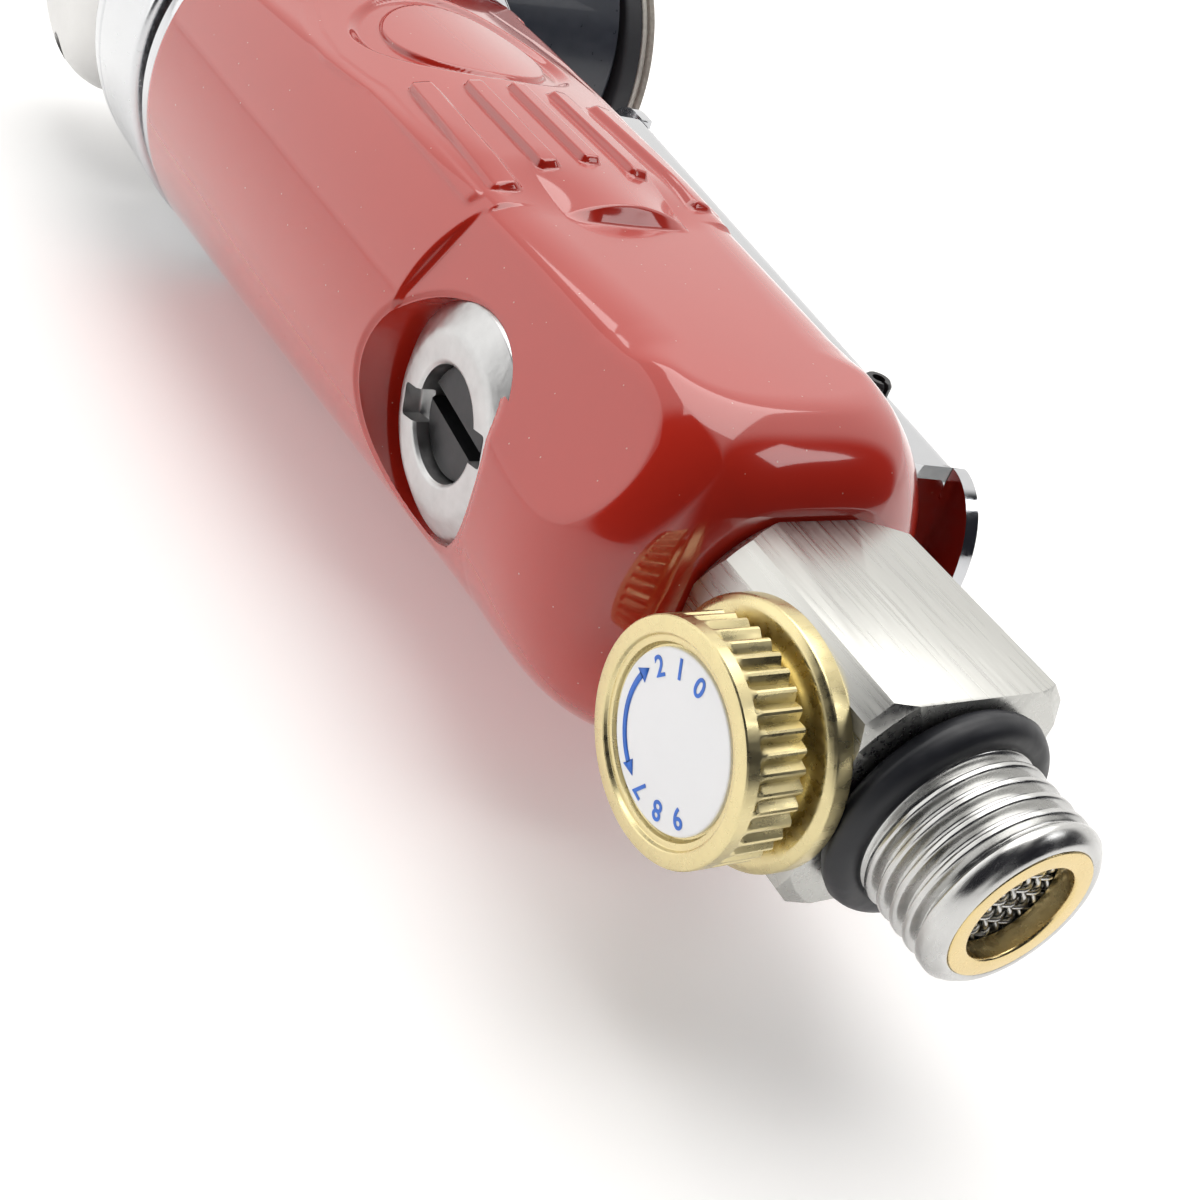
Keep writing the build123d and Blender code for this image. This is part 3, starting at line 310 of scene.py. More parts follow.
end_turning = [
    (-20.8, 0, 0), (-20.8, 9.2, 0), (-17.4, 12.6, 0), (-4.0, 12.6, 0), (-2.6, 10.0, 0), (-2.6, 0, 0),
]
turning = turned("bar_end_turning", end_turning, (0, 0, 0), (1, 0, 0), "handle", brushed_bar, segments=192)
crossing = bar_body.modifiers.new("turned_ends", "BOOLEAN")
crossing.operation = "INTERSECT"
crossing.solver = "EXACT"
crossing.object = turning
break_edges(bar_body, 0.12, 18)
cut_bar = settled_mesh(bar_body)
bar_body.modifiers.clear()
bar_body.data = cut_bar
bpy.data.objects.remove(turning)
cut_bar.materials.clear()
cut_bar.materials.append(brushed_bar)
cut_bar.shade_smooth()
cut_bar.set_sharp_from_angle(angle=radians(30))

# the male thread, one helical ridge on a turned stub, with a polished nose
thread_pitch = 1.337
thread_crest = 6.58
thread_depth = 0.80
thread_end = 6.05
thread_segments = 160


def thread_radius_at(along, angle):
    """The radius of the worn, rounded thread at a station along the stub."""
    phase = (along / thread_pitch + angle / (2 * pi)) % 1.0
    ridge = abs(2 * phase - 1)
    ridge = min(1.0, max(0.0, (ridge - 0.14) / 0.66))
    depth = thread_depth * (1 - ridge * ridge * (3 - 2 * ridge))
    run_in = min(1.0, max(0.0, (along + 0.25) / 0.7))
    run_out = min(1.0, max(0.0, (thread_end - along) / 0.75))
    return thread_crest - depth * run_in * run_out


stub_rows = [[(-2.7, 5.75)] * thread_segments, [(-0.32, 5.75)] * thread_segments]
stub_angles = [2 * pi * column / thread_segments for column in range(thread_segments)]
for station in np.arange(-0.3, thread_end + 0.001, 0.055):
    stub_rows.append([(station, thread_radius_at(station, angle)) for angle in stub_angles])
for along, radius in ((6.25, 6.58), (6.5, 6.52), (6.9, 6.2), (7.15, 5.92), (7.27, 5.72), (7.3, 5.55),
                      (7.28, 5.42), (7.2, 5.3), (5.0, 5.3), (2.0, 5.3)):
    stub_rows.append([(along, radius)] * thread_segments)
stub_points = []
for row in stub_rows:
    for (along, radius), angle in zip(row, stub_angles):
        stub_points.append((along * MM, radius * cos(angle) * MM, radius * sin(angle) * MM))
stub_faces = band_faces(len(stub_rows), thread_segments)
thread_metal = metal("turned_aluminium", (0.60, 0.60, 0.59), 0.24, grain=3200, stretch=(1, 0.2, 0.2),
                     grain_depth=0.01, mottle=0.22, mottle_grain=600)
inlet_thread = lay_piece("inlet_thread", stub_points, stub_faces, "handle", thread_metal, sharp=50)
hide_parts("inlet_bar")
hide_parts("inlet_bar")

# ======== inlet sealing ring ========
# A moulded rubber ring that sits in the undercut behind the thread and seals on the coupling.
# Its parting line shows as a fine ridge round the outside.

rubber_black = metal("black_rubber", (0.014, 0.015, 0.020), 0.42, grain=900, grain_depth=0.02, mottle=0.5,
                     mottle_grain=500, metallic=0.0)
ring_cord = 1.3
ring_middle_radius = 7.05
parting_line = 0.05
ring_steps = 40
ring_section = []
for step in range(ring_steps):
    turn_angle = 2 * pi * step / ring_steps
    swell = ring_cord + (parting_line if step == ring_steps / 4 else 0.0)
    out = ring_middle_radius + swell * sin(turn_angle)
    ring_section.append((-ring_cord + swell * cos(turn_angle), out, 0))
sealing_ring = turned("inlet_ring", ring_section, (0, 0, 0), (1, 0, 0), "handle", rubber_black, closed=True,
                      sharp=60)
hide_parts("inlet_o_ring")

# ======== inlet bush and screen ========
# A brass ring pressed into the bore holds a disc of woven steel wire, which keeps dirt out of the motor.
# The wires run over and under each other at about one a millimetre.

bush_metal = metal("pressed_brass", (0.76, 0.60, 0.30), 0.24, grain=1800, grain_depth=0.01, mottle=0.16,
                   mottle_grain=300)


def box_mm(node):
    """The low and high corners of the box round a solid, in mm."""
    return [[edge / MM for edge in corner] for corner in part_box(node)]


bush_low, bush_high = box_mm("inlet_bush")
bush_back = bush_low[0]
bush_front = bush_high[0]
bush_ring = [(bush_back, 3.9, 0), (bush_front, 3.9, 0.25), (bush_front, 5.28, 0.12), (bush_back, 5.28, 0)]
inlet_bush = turned("inlet_bush_ring", bush_ring, (0, 0, 0), (1, 0, 0), "handle", bush_metal, closed=True)
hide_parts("inlet_bush")

screen_metal = metal("screen_wire", (0.62, 0.62, 0.60), 0.30, grain=2500, mottle=0.2)
wire_radius = 0.19
wire_sides = 8
wire_pitch = 0.92
wire_wave = 0.2
screen_reach = 4.6
screen_x = bush_back - 0.42
screen_turn = radians(24)
wire_points = []
wire_faces = []


def lay_wire(line):
    """One round wire of the screen along a line of points, in mm."""
    first = len(wire_points)
    for place, ahead in zip(line, line[1:] + line[-1:]):
        run = Vector(ahead) - Vector(place) if ahead is not place else Vector(place) - Vector(line[-2])
        run.normalize()
        up = Vector((1, 0, 0)) - run * run.x
        up.normalize()
        across = run.cross(up)
        for side in range(wire_sides):
            angle = 2 * pi * side / wire_sides
            wire_points.append((Vector(place) + (up * cos(angle) + across * sin(angle)) * wire_radius) * MM)
    for face in band_faces(len(line), wire_sides):
        wire_faces.append(tuple(first + corner for corner in face))


for number in range(-5, 6):
    offset = number * wire_pitch
    half_run = sqrt(max(0.0, screen_reach ** 2 - offset ** 2))
    for crosswise in (0, 1):
        line = []
        for station in np.linspace(-half_run, half_run, 45):
            wave = wire_wave * cos(pi * station / wire_pitch + pi * (number + crosswise))
            first, second = (station, offset) if crosswise else (offset, station)
            y = first * cos(screen_turn) - second * sin(screen_turn)
            z = first * sin(screen_turn) + second * cos(screen_turn)
            line.append((screen_x + wave, y, z))
        lay_wire(line)
inlet_screen = lay_piece("inlet_screen_weave", wire_points, wire_faces, "handle", screen_metal, sharp=80)
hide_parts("inlet_screen")

# ======== flow regulator ========
# A brass knob screws in and out of a brass collar on the side of the bar, and moves a tapered needle
# across the air bore. Its rim has straight knurling, and a white printed disc is glued in its recess.

knob_low, knob_high = box_mm("regulator_knob")
knob_x = (knob_low[0] + knob_high[0]) / 2
knob_face = knob_low[1]
dial_face = box_mm("regulator_dial")[0][1]
knob_length = 4.6
knob_outer = 7.9
knob_end = knob_face + knob_length
knurl_count = 40
knurl_steps = 8

knob_brass = metal("turned_brass", (0.73, 0.63, 0.35), 0.29, grain=1500, stretch=(1, 0.35, 1),
                   grain_depth=0.012, mottle=0.20, mottle_grain=260)


def knob_point(along, radius, angle):
    """A point of the knob; along runs inwards from its outer face."""
    return ((knob_x + radius * cos(angle)) * MM, (knob_face + along) * MM, radius * sin(angle) * MM)


knob_segments = knurl_count * knurl_steps
knob_rows = []
rim_and_recess = (
    (0.75, 5.0), (0.75, 6.0), (0.62, 6.12), (0.34, 6.2), (0.30, 6.32), (0.30, 6.55), (0.26, 6.62),
    (0.05, 6.72), (0.0, 6.8), (0.0, 7.66), (0.06, 7.8), (0.16, 7.88), (0.95, 7.9),
)
knurl_depths = ((1.0, 0.0), (1.12, 0.12), (1.35, 0.36), (1.6, 0.50), (4.2, 0.50), (4.5, 0.50), (4.6, 0.6))
back_and_neck = ((4.62, 6.9), (4.62, 6.2), (4.9, 6.05), (5.5, 6.05), (5.55, 5.9), (5.55, 3.2), (5.5, 2.9))
for along, radius in rim_and_recess:
    knob_rows.append([(along, radius)] * knob_segments)
for along, depth in knurl_depths:
    row = []
    for column in range(knob_segments):
        phase = (column % knurl_steps) / knurl_steps
        valley = 1 - min(1.0, abs(2 * phase - 1) / 0.82)
        land = 0.0 if along < 4.55 else 0.12
        row.append((along, knob_outer - land - depth * valley))
    knob_rows.append(row)
for along, radius in back_and_neck:
    knob_rows.append([(along, radius)] * knob_segments)
knob_points = []
for row in knob_rows:
    for column, (along, radius) in enumerate(row):
        knob_points.append(knob_point(along, radius, 2 * pi * column / knob_segments))
knob_faces = band_faces(len(knob_rows), knob_segments)
knob_piece = lay_piece("knob_body", knob_points, knob_faces, "regulator", knob_brass, sharp=24)
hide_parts("regulator_knob")

# the rubber washer that the bar is screwed down on, just inside the housing
seal_low, seal_high = box_mm("inlet_seal")
seal_front = seal_low[0]
seal_rear = seal_high[0] - 0.75
seal_points = [(seal_front, 8.05, 0), (seal_front, 9.5, 0.2), (seal_rear, 9.5, 0.3), (seal_rear, 8.05, 0)]
seal_ring = turned("inlet_seal_ring", seal_points, (0, 0, 0), (1, 0, 0), "handle", rubber_black, closed=True)
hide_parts("inlet_seal")

collar_face = -8.5 - 1.7
collar_points = [
    (0, 6.15, 0), (0, 8.35, 0.2), (0.35, 8.9, 0.2), (1.72, 8.9, 0.15), (1.72, 4.6, 0), (4.1, 4.6, 0),
    (4.1, 3.05, 0), (0.9, 3.05, 0), (0.9, 6.15, 0),
]
knob_collar = turned("knob_collar", collar_points, (knob_x, collar_face, 0), (0, 1, 0), "handle", knob_brass,
                     segments=160, closed=True, sharp=28)
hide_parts("regulator_collar")

# the fine thread seen between the knob and its collar
neck_bore, neck_root, neck_crest = 4.2, 5.75, 5.98
neck_pitch = 0.42
neck_points = [(knob_end + 0.02, neck_bore, 0)]
for turn_number in range(4):
    start = knob_end + 0.05 + turn_number * neck_pitch
    neck_points += [(start, neck_root, 0), (start + 0.16, neck_crest, 0), (start + 0.26, neck_crest, 0),
                    (start + 0.40, neck_root, 0)]
neck_points += [(knob_end + 1.8, neck_root, 0), (knob_end + 1.8, neck_bore, 0)]
neck_thread = turned("knob_neck_thread", neck_points, (knob_x, 0, 0), (0, 1, 0), "regulator", knob_brass,
                     closed=True)
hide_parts("regulator_knob")

dial_white = metal("printed_white", (0.94, 0.95, 0.97), 0.16, grain=700, grain_depth=0.004, mottle=0.015,
                   mottle_grain=200, metallic=0.0, coat=0.6)
dial_points = [(0.55, 0, 0), (0.55, 5.86, 0.0), (0.06, 5.86, 0.06), (0, 5.74, 0.05), (0, 0, 0)]
dial_disc = turned("dial_disc", dial_points, (knob_x, dial_face, 0), (0, 1, 0), "regulator", dial_white,
                   sharp=40)
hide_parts("regulator_dial")

dial_blue = metal("printed_blue", (0.030, 0.17, 0.70), 0.34, grain=900, grain_depth=0.004, mottle=0.25,
                  mottle_grain=900, metallic=0.0)
mark_height = dial_face - 0.025
dial_right = Vector((0.94, 0, 0.34))
dial_up = Vector((-0.34, 0, 0.94))


def dial_point(radius, angle):
    """A point of the print, with angle counted from the dial's right, in degrees."""
    arm = dial_right * cos(radians(angle)) + dial_up * sin(radians(angle))
    return ((knob_x + arm.x * radius) * MM, mark_height * MM, arm.z * radius * MM)


# an arc with an arrow head at each end, printed round the left of the dial
arc_points = []
arc_faces = []
arc_steps = 40
arc_start, arc_end = 142, 218
for step in range(arc_steps + 1):
    angle = arc_start + (arc_end - arc_start) * step / arc_steps
    arc_points += [dial_point(4.62, angle), dial_point(5.06, angle)]
for step in range(arc_steps):
    arc_faces.append((2 * step, 2 * step + 1, 2 * step + 3, 2 * step + 2))
for tip, back in ((131, 143), (229, 217)):
    first = len(arc_points)
    arc_points += [dial_point(4.84, tip), dial_point(4.28, back), dial_point(5.40, back)]
    arc_faces.append((first, first + 1, first + 2))
dial_arrow = lay_piece("dial_arrow", arc_points, arc_faces, "regulator", dial_blue)
thin = dial_arrow.modifiers.new("print", "SOLIDIFY")
thin.thickness = 0.02 * MM
thin.offset = 0
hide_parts("regulator_dial")

# three numerals beyond each arrow head, standing on a circle
for number, (numeral, angle) in enumerate(zip("210789", (118, 92, 66, 242, 268, 294))):
    text = bpy.data.curves.new(f"dial_number_{number}", "FONT")
    text.body = numeral
    text.size = 1.9 * MM
    text.extrude = 0.01 * MM
    text.offset = 0.035 * MM
    text.align_x = "CENTER"
    text.align_y = "CENTER"
    text.materials.append(dial_blue)
    figure = add_object(f"dial_number_{number}", text)
    spot = Vector(dial_point(4.62, angle))
    up = (spot - Vector((knob_x * MM, spot.y, 0))).normalized()
    outward = Vector((0, -1, 0))
    right = up.cross(outward)
    figure.matrix_world = Matrix.Translation(spot) @ Matrix((right, up, outward)).transposed().to_4x4()
    bpy.context.view_layer.update()
    lettering = settled_mesh(figure)
    lettering.transform(figure.matrix_world)
    bpy.data.objects.remove(figure)
    figure = add_object(f"dial_number_{number}", lettering)
    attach(figure, "regulator")
    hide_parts("regulator_dial")


def refinish(material, *nodes):
    """Gives CAD pieces, whose shape is right as it is, their finish."""
    for node in nodes:
        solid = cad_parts[node]
        solid.data.materials.clear()
        solid.data.materials.append(material)


refinish(knob_brass, "regulator_needle")
refinish(rubber_black, "regulator_o_ring")

# ======== housing ========
# One aluminium casting, round and slightly tapered, painted a glossy brick red. Its rear top has a bare
# flat with a diagonal flat on either side; in front are a crowned thumb panel with five raised ribs and
# a blank oval badge. Everything else is let into it.

valve_low, valve_high = box_mm("valve_plug")
valve_x = (valve_low[0] + valve_high[0]) / 2
recess_x = valve_x - 1.0
recess_z = -0.5
dome_rear = -20.3
dome_length = 16.0
dome_power = 3.5
grip_rear = -36.8
grip_front = -104.0
grip_rear_radius = 16.85
grip_front_radius = 20.4
flat_height = 14.2
crown_height = 15.7
crown_foot = -51.4
crescent_height = 1.4
crescent_half_width = 6.6
rib_spacing = 4.8
rib_rear = -59.2
rib_front = -73.6
rib_half_width = 1.05
rib_corner = 0.65
rib_height = 0.58
badge_x, badge_y = -84.2, 0.2
badge_rise = 0.42
oval_x = -84.6
oval_depth = 0.55
facet_lean = radians(31)
facet_drop = 0.80
facet_step = 1.3
border_height = 0.22
unlimited = 99.0


def soft_min(first, second, blend):
    """The smaller of two surfaces, with the edge between them rounded over blend."""
    mix = np.clip(0.5 + 0.5 * (second - first) / blend, 0, 1)
    return second + (first - second) * mix - blend * mix * (1 - mix)


def ease(t):
    """A smooth step from 0 to 1."""
    t = np.clip(t, 0, 1)
    return t * t * (3 - 2 * t)


def top_height(x, y):
    """The height of the casting's top: the bare flat, the crescent wall and the crowned panel."""
    crown = crown_height - y * y / 84
    wall = crescent_height * np.clip(1 - (y / crescent_half_width) ** 2, 0, 1)
    height = flat_height + wall * np.clip((crown_foot - x) / 0.95, 0, 1)
    height = height + (crown - flat_height - wall) * ease((crown_foot - 0.4 - x) / 9)
    # five raised ribs on the panel, with square rear ends
    for number in (-2, -1, 0, 1, 2):
        centre = rib_spacing * number
        back = rib_rear + 0.93 * number * number
        beyond = np.abs(x - (back + rib_front) / 2) - (back - rib_front) / 2 + rib_corner
        beside = np.abs(y - centre) - rib_half_width + rib_corner
        outside = np.hypot(np.maximum(beyond, 0), np.maximum(beside, 0))
        reach = outside + np.minimum(np.maximum(beyond, beside), 0)
        height = height + rib_height * np.clip((0.78 - reach) / 0.42, 0, 1)
    # the sunk oval round the badge, and the blank badge in it
    oval = np.hypot((x - oval_x) / 9.4, (y - badge_y) / 11.9)
    badge = np.hypot((x - badge_x) / 8.0, (y - badge_y) / 9.3)
    height -= oval_depth * ease((1.0 - oval) / 0.07)
    height += badge_rise * ease((1.0 - badge) / 0.05)
    return height


def housing_radius(x, angle):
    """The casting's radius at stations x, in mm, and angles from +Y towards +Z."""
    along = np.clip((dome_rear - x) / dome_length, 0, 1)
    dome = grip_rear_radius * (1 - (1 - along) ** dome_power) ** (1 / dome_power)
    taper = (grip_front_radius - grip_rear_radius) / (grip_rear - grip_front)
    cone = grip_rear_radius + (grip_rear - x) * taper
    radius = np.where(x > -36.4, dome, cone)
    # the dome is lower towards the top
    from_top = np.abs(np.degrees(angle) - 90) / 35
    lowering = np.clip(1 - from_top ** 2, 0, 1) ** 1.5
    radius = radius * (1 - 0.105 * lowering * ease((x + 34) / 7))
    side = np.cos(angle)
    up = np.maximum(np.sin(angle), 1e-3)
    # the diagonal flats, which end in a wall facing the rear
    for flank in (pi - facet_lean, facet_lean):
        facet = (cone - facet_drop) / np.maximum(np.cos(angle - flank), 0.2)
        wall = np.clip((-53.9 - x) / 0.75, 0, 1)
        facet = facet + facet_step * wall + 4.0 * (x < -54.7)
        facet = np.where(np.abs(angle - flank) < radians(40), facet, unlimited)
        radius = soft_min(radius, facet, 0.22)
    # the raised border between panel and facet
    border_stations = [54.7, 73.9, 76.4, 80.9, 86.1, 92.7, 98.0]
    border_tilts = [48.5, 48.5, 46.5, 44.5, 45.5, 50.0, 60.0]
    for mirror in (1, -1):
        tilt = np.degrees(np.arctan2(np.sin(angle), mirror * -np.cos(angle)))
        away = np.abs(tilt - np.interp(-x, border_stations, border_tilts)) * radius * pi / 180
        present = ease((-55.0 - x) / 1.2) * ease((x + 98) / 3)
        radius = radius + border_height * ease((0.95 - away) / 0.55) * present
    # the top, with its edges rounded most in the middle of the handle
    limit = np.where(np.sin(angle) > 0.2, top_height(x, radius * side) / up, unlimited)
    blend = np.where(x > -30.5, 0.35, 0.35 + 1.3 * ease((-30.5 - x) / 4))
    blend = np.where(x < -53.5, 0.5, blend)
    radius = soft_min(radius, limit, blend)
    # the flats under the lever
    lever_flat = 13.6 + 1.6 * ease((-54.3 - x) / 1.5) + 6.0 * ease((-100.6 - x) / 1.2)
    lever_side = np.where(side > 0.2, lever_flat / np.maximum(side, 1e-3), unlimited)
    radius = soft_min(radius, lever_side, 0.8)
    # the rounded lip of the valve's recess
    reach = np.hypot(x - recess_x, radius * np.sin(angle) - recess_z)
    lip = ease((9.9 - reach) / 0.5) * (np.cos(angle) < -0.3)
    return radius - 0.25 * lip


dome_turns = np.linspace(0.43, pi / 2, 70)
dome_stations = dome_rear - dome_length * (1 - np.cos(dome_turns) ** (2 / dome_power))
stations = np.concatenate((
    dome_stations[dome_stations > -30.0], np.arange(-30.2, -50.5, -0.35), np.arange(-50.6, -62.0, -0.16),
    np.arange(-62.0, -72.0, -0.5), np.arange(-72.0, -95.0, -0.25), np.arange(-95.0, -103.4, -0.5),
    np.array([-103.5, -103.7, -103.85, -103.95, -104.0]),
))
angles = np.radians(np.concatenate((
    np.arange(-180, -150, 0.8), np.arange(-150, 40, 1.3), np.arange(40, 52, 0.7), np.arange(52, 134, 0.34),
    np.arange(134, 180, 0.6),
)))
columns = len(angles)
station_grid, angle_grid = np.meshgrid(stations, angles, indexing="ij")
radius_grid = housing_radius(station_grid, angle_grid)
front_edge = np.array([0.0, 0.02, 0.08, 0.2, 0.45])
radius_grid[-5:] -= front_edge[:, None]
skin = np.stack((station_grid, radius_grid * np.cos(angle_grid), radius_grid * np.sin(angle_grid)), axis=-1)
skin_points = [tuple(v) for v in skin.reshape(-1, 3) * MM]
skin_faces = band_faces(len(stations), columns)
rear_centre = len(skin_points)
skin_points.append((stations[0] * MM, 0, 0))
skin_points.append((stations[-1] * MM, 0, 0))
last_row = (len(stations) - 1) * columns
for column in range(columns):
    beside = (column + 1) % columns
    skin_faces.append((rear_centre, beside, column))
    skin_faces.append((rear_centre + 1, last_row + column, last_row + beside))

red_paint = bpy.data.materials.new("red_paint")
red_paint.use_nodes = True
paint = red_paint.node_tree
paint_shader = paint.nodes["Principled BSDF"]
paint_shader.inputs["Coat Weight"].default_value = 1.0
paint_shader.inputs["Coat Roughness"].default_value = 0.06
paint_shader.inputs["Coat IOR"].default_value = 1.70
paint_shader.inputs["Specular IOR Level"].default_value = 0.15
paint_place = paint.nodes.new("ShaderNodeTexCoord")
paint_cloud = add_node(paint, "ShaderNodeTexNoise", {"Scale": 70, "Detail": 4})
paint_tone = add_node(paint, "ShaderNodeMix", {"A": (0.46, 0.019, 0.009, 1), "B": (0.53, 0.028, 0.014, 1)},
                      data_type="RGBA")
paint_specks = add_node(paint, "ShaderNodeTexVoronoi", {"Scale": 700})
paint_speck_size = add_node(paint, "ShaderNodeMapRange", {
    "From Min": 0.035, "From Max": 0.055, "To Min": 1.0, "To Max": 0.0})
paint_dust = add_node(paint, "ShaderNodeMix", {"B": (0.62, 0.30, 0.24, 1)}, data_type="RGBA")
paint_orange_peel = add_node(paint, "ShaderNodeTexNoise", {"Scale": 420, "Detail": 1})
paint_rough = add_node(paint, "ShaderNodeMapRange", {"To Min": 0.17, "To Max": 0.30})
paint_bump = add_node(paint, "ShaderNodeBump", {"Strength": 0.35, "Distance": 0.012 * MM})
wire_up(paint, (paint_place, "Object", paint_cloud, "Vector"),
        (paint_place, "Object", paint_specks, "Vector"),
        (paint_place, "Object", paint_orange_peel, "Vector"), (paint_cloud, "Fac", paint_tone, "Factor"),
        (paint_specks, "Distance", paint_speck_size, "Value"),
        (paint_speck_size, "Result", paint_dust, "Factor"), (paint_tone, "Result", paint_dust, "A"),
        (paint_dust, "Result", paint_shader, "Base Color"), (paint_cloud, "Fac", paint_rough, "Value"),
        (paint_rough, "Result", paint_shader, "Roughness"), (paint_orange_peel, "Fac", paint_bump, "Height"),
        (paint_bump, "Normal", paint_shader, "Normal"))

housing_skin = lay_piece("housing_casting", skin_points, skin_faces, "handle", red_paint, sharp=62)

# the chambers and bores: motor, valve, recess and air way
plug_face = valve_low[1]
plug_back = valve_high[1]
chamber_cut = turned("chamber_cut", [(-57.0, 0, 0), (-57.0, 12.8, 0), (-110, 12.8, 0), (-110, 0, 0)],
                     (0, 0, 0), (1, 0, 0), "handle", red_paint, segments=128)
valve_cut = turned(
    "valve_cut",
    [(-15.0, 0, 0), (-15.0, 9.22, 0), (plug_back, 9.22, 0), (plug_back, 6.4, 0), (4.0, 6.4, 0), (4.0, 4.0, 0),
     (9.0, 4.0, 0), (9.0, 2.93, 0), (10.4, 2.93, 0), (10.4, 1.6, 0), (20, 1.6, 0), (20, 0, 0)],
    (valve_x, 0, 0), (0, 1, 0), "handle", red_paint, segments=192)
recess_cut = turned("recess_cut", [(-30, 0, 0), (-30, 9.3, 0), (-13.2, 9.3, 0), (-13.2, 0, 0)],
                    (recess_x, 0, recess_z), (0, 1, 0), "handle", red_paint, segments=192)
inlet_cut = turned(
    "inlet_cut",
    [(-15, 0, 0), (-15, 8.0, 0), (-32.8, 8.0, 0), (-32.8, 4.0, 0), (valve_x, 4.0, 0), (valve_x, 0, 0)],
    (0, 0, 0), (1, 0, 0), "handle", red_paint, segments=96)

# three round-ended exhaust slots through the underside
exhaust_x = -86.0
exhaust_spacing = 4.0
exhaust_half_width = 0.9
exhaust_half_run = 5.1
exhaust_shape = bmesh.new()
for number in (-1, 0, 1):
    slot_x = exhaust_x + exhaust_spacing * number
    ends = []
    for end in (-exhaust_half_run, exhaust_half_run):
        for step in range(13):
            swing = pi * step / 12 + (0 if end > 0 else pi)
            ends.append((slot_x + exhaust_half_width * cos(swing), end + exhaust_half_width * sin(swing)))
    low_ring = [exhaust_shape.verts.new((x * MM, y * MM, -25 * MM)) for x, y in ends]
    high_ring = [exhaust_shape.verts.new((x * MM, y * MM, -10 * MM)) for x, y in ends]
    exhaust_shape.faces.new(low_ring[::-1])
    exhaust_shape.faces.new(high_ring)
    for index in range(len(ends)):
        beside = (index + 1) % len(ends)
        exhaust_shape.faces.new((low_ring[index], low_ring[beside], high_ring[beside], high_ring[index]))
exhaust_cut = from_shape("exhaust_cut", exhaust_shape)


def cut_away(piece, cutters, sharp):
    """Cuts bores and slots out of a closed piece, and keeps the finished mesh."""
    for number, cutter in enumerate(cutters):
        cut = piece.modifiers.new(f"cut_{number}", "BOOLEAN")
        cut.operation = "DIFFERENCE"
        cut.solver = "EXACT"
        cut.object = cutter
    finished = settled_mesh(piece)
    piece.modifiers.clear()
    piece.data = finished
    for cutter in cutters:
        bpy.data.objects.remove(cutter)
    keep = finished.materials[0]
    finished.materials.clear()
    finished.materials.append(keep)
    finished.polygons.foreach_set("material_index", [0] * len(finished.polygons))
    finished.shade_smooth()
    finished.set_sharp_from_angle(angle=radians(sharp))


cut_away(housing_skin, [chamber_cut, recess_cut, valve_cut, inlet_cut, exhaust_cut], 62)
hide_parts("housing")

# the lug that carries the lever's pin
pivot = Vector((-37.4, 17.6, 0))
pin_radius = 1.25
lug_shape = bmesh.new()
bmesh.ops.create_cube(lug_shape, size=1.0)
bmesh.ops.scale(lug_shape, vec=(8.4 * MM, 7.4 * MM, 12.6 * MM), verts=lug_shape.verts)
bmesh.ops.translate(lug_shape, vec=(pivot.x * MM, 15.7 * MM, 0), verts=lug_shape.verts)
bmesh.ops.bevel(lug_shape, geom=lug_shape.edges[:], offset=0.9 * MM, segments=4, profile=0.6, affect="EDGES")
lever_lug = from_shape("lever_lug", lug_shape)
lever_lug.data.materials.append(red_paint)
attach(lever_lug, "handle")
pin_cut = turned("pin_cut", [(-12, 0, 0), (-12, pin_radius, 0), (12, pin_radius, 0), (12, 0, 0)],
                 tuple(pivot), (0, 0, 1), "handle", red_paint, segments=48)
cut_away(lever_lug, [pin_cut], 40)
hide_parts("housing")

# ======== valve plug and speed screw ========
# A die-cast zinc plug closes the valve's chamber at the bottom of the round recess, with two notches for a
# pin spanner. The blackened screw in its bore has one slot and trims the speed.

plug_zinc = metal("cast_zinc", (0.56, 0.56, 0.56), 0.36, grain=1100, grain_depth=0.05, mottle=0.30,
                  mottle_grain=420)


def slot_cutter(name, centre, size, turn_angle, rounding=0.15):
    """A box with softened edges, in mm, turned about +Y, that cuts a slot."""
    shape = bmesh.new()
    bmesh.ops.create_cube(shape, size=1.0)
    bmesh.ops.scale(shape, vec=[s * MM for s in size], verts=shape.verts)
    bmesh.ops.bevel(shape, geom=shape.edges[:], offset=rounding * MM, segments=2, profile=0.5, affect="EDGES")
    bmesh.ops.rotate(shape, cent=(0, 0, 0), matrix=Matrix.Rotation(turn_angle, 3, "Y"), verts=shape.verts)
    bmesh.ops.translate(shape, vec=[c * MM for c in centre], verts=shape.verts)
    return from_shape(name, shape)


plug_ring = [
    (plug_back, 4.5, 0), (plug_face + 0.28, 4.5, 0), (plug_face, 4.78, 0.2), (plug_face, 7.0, 0.5),
    (plug_face + 1.4, 9.2, 0.15), (plug_back, 9.2, 0),
]
plug_piece = turned("plug_body", plug_ring, (valve_x, 0, 0), (0, 1, 0), "handle", plug_zinc, segments=192,
                    closed=True)
notch_cut = slot_cutter("notch_cut", (valve_x, plug_face, 0), (12.6, 3.2, 2.6), radians(-14), 0.3)
cut_away(plug_piece, [notch_cut], 30)
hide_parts("valve_plug")

screw_black = metal("blackened_steel", (0.050, 0.050, 0.053), 0.38, grain=1300, grain_depth=0.02, mottle=0.45,
                    mottle_grain=500, metallic=0.7)
screw_low, screw_high = box_mm("speed_screw")
screw_face = screw_low[1]
screw_back = screw_high[1]
screw_radius = 4.47
screw_profile = [
    (screw_face, 0, 0), (screw_face, 4.2, 0.1), (screw_face + 0.35, screw_radius, 0.1),
    (screw_back, screw_radius, 0), (screw_back, 0, 0),
]
screw_piece = turned("screw_body", screw_profile, (valve_x, 0, 0), (0, 1, 0), "speed_screw", screw_black)
screw_cut = slot_cutter("screw_cut", (valve_x, screw_face, 0), (12, 3.2, 1.5), radians(6), 0.12)
cut_away(screw_piece, [screw_cut], 30)
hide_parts("speed_screw")

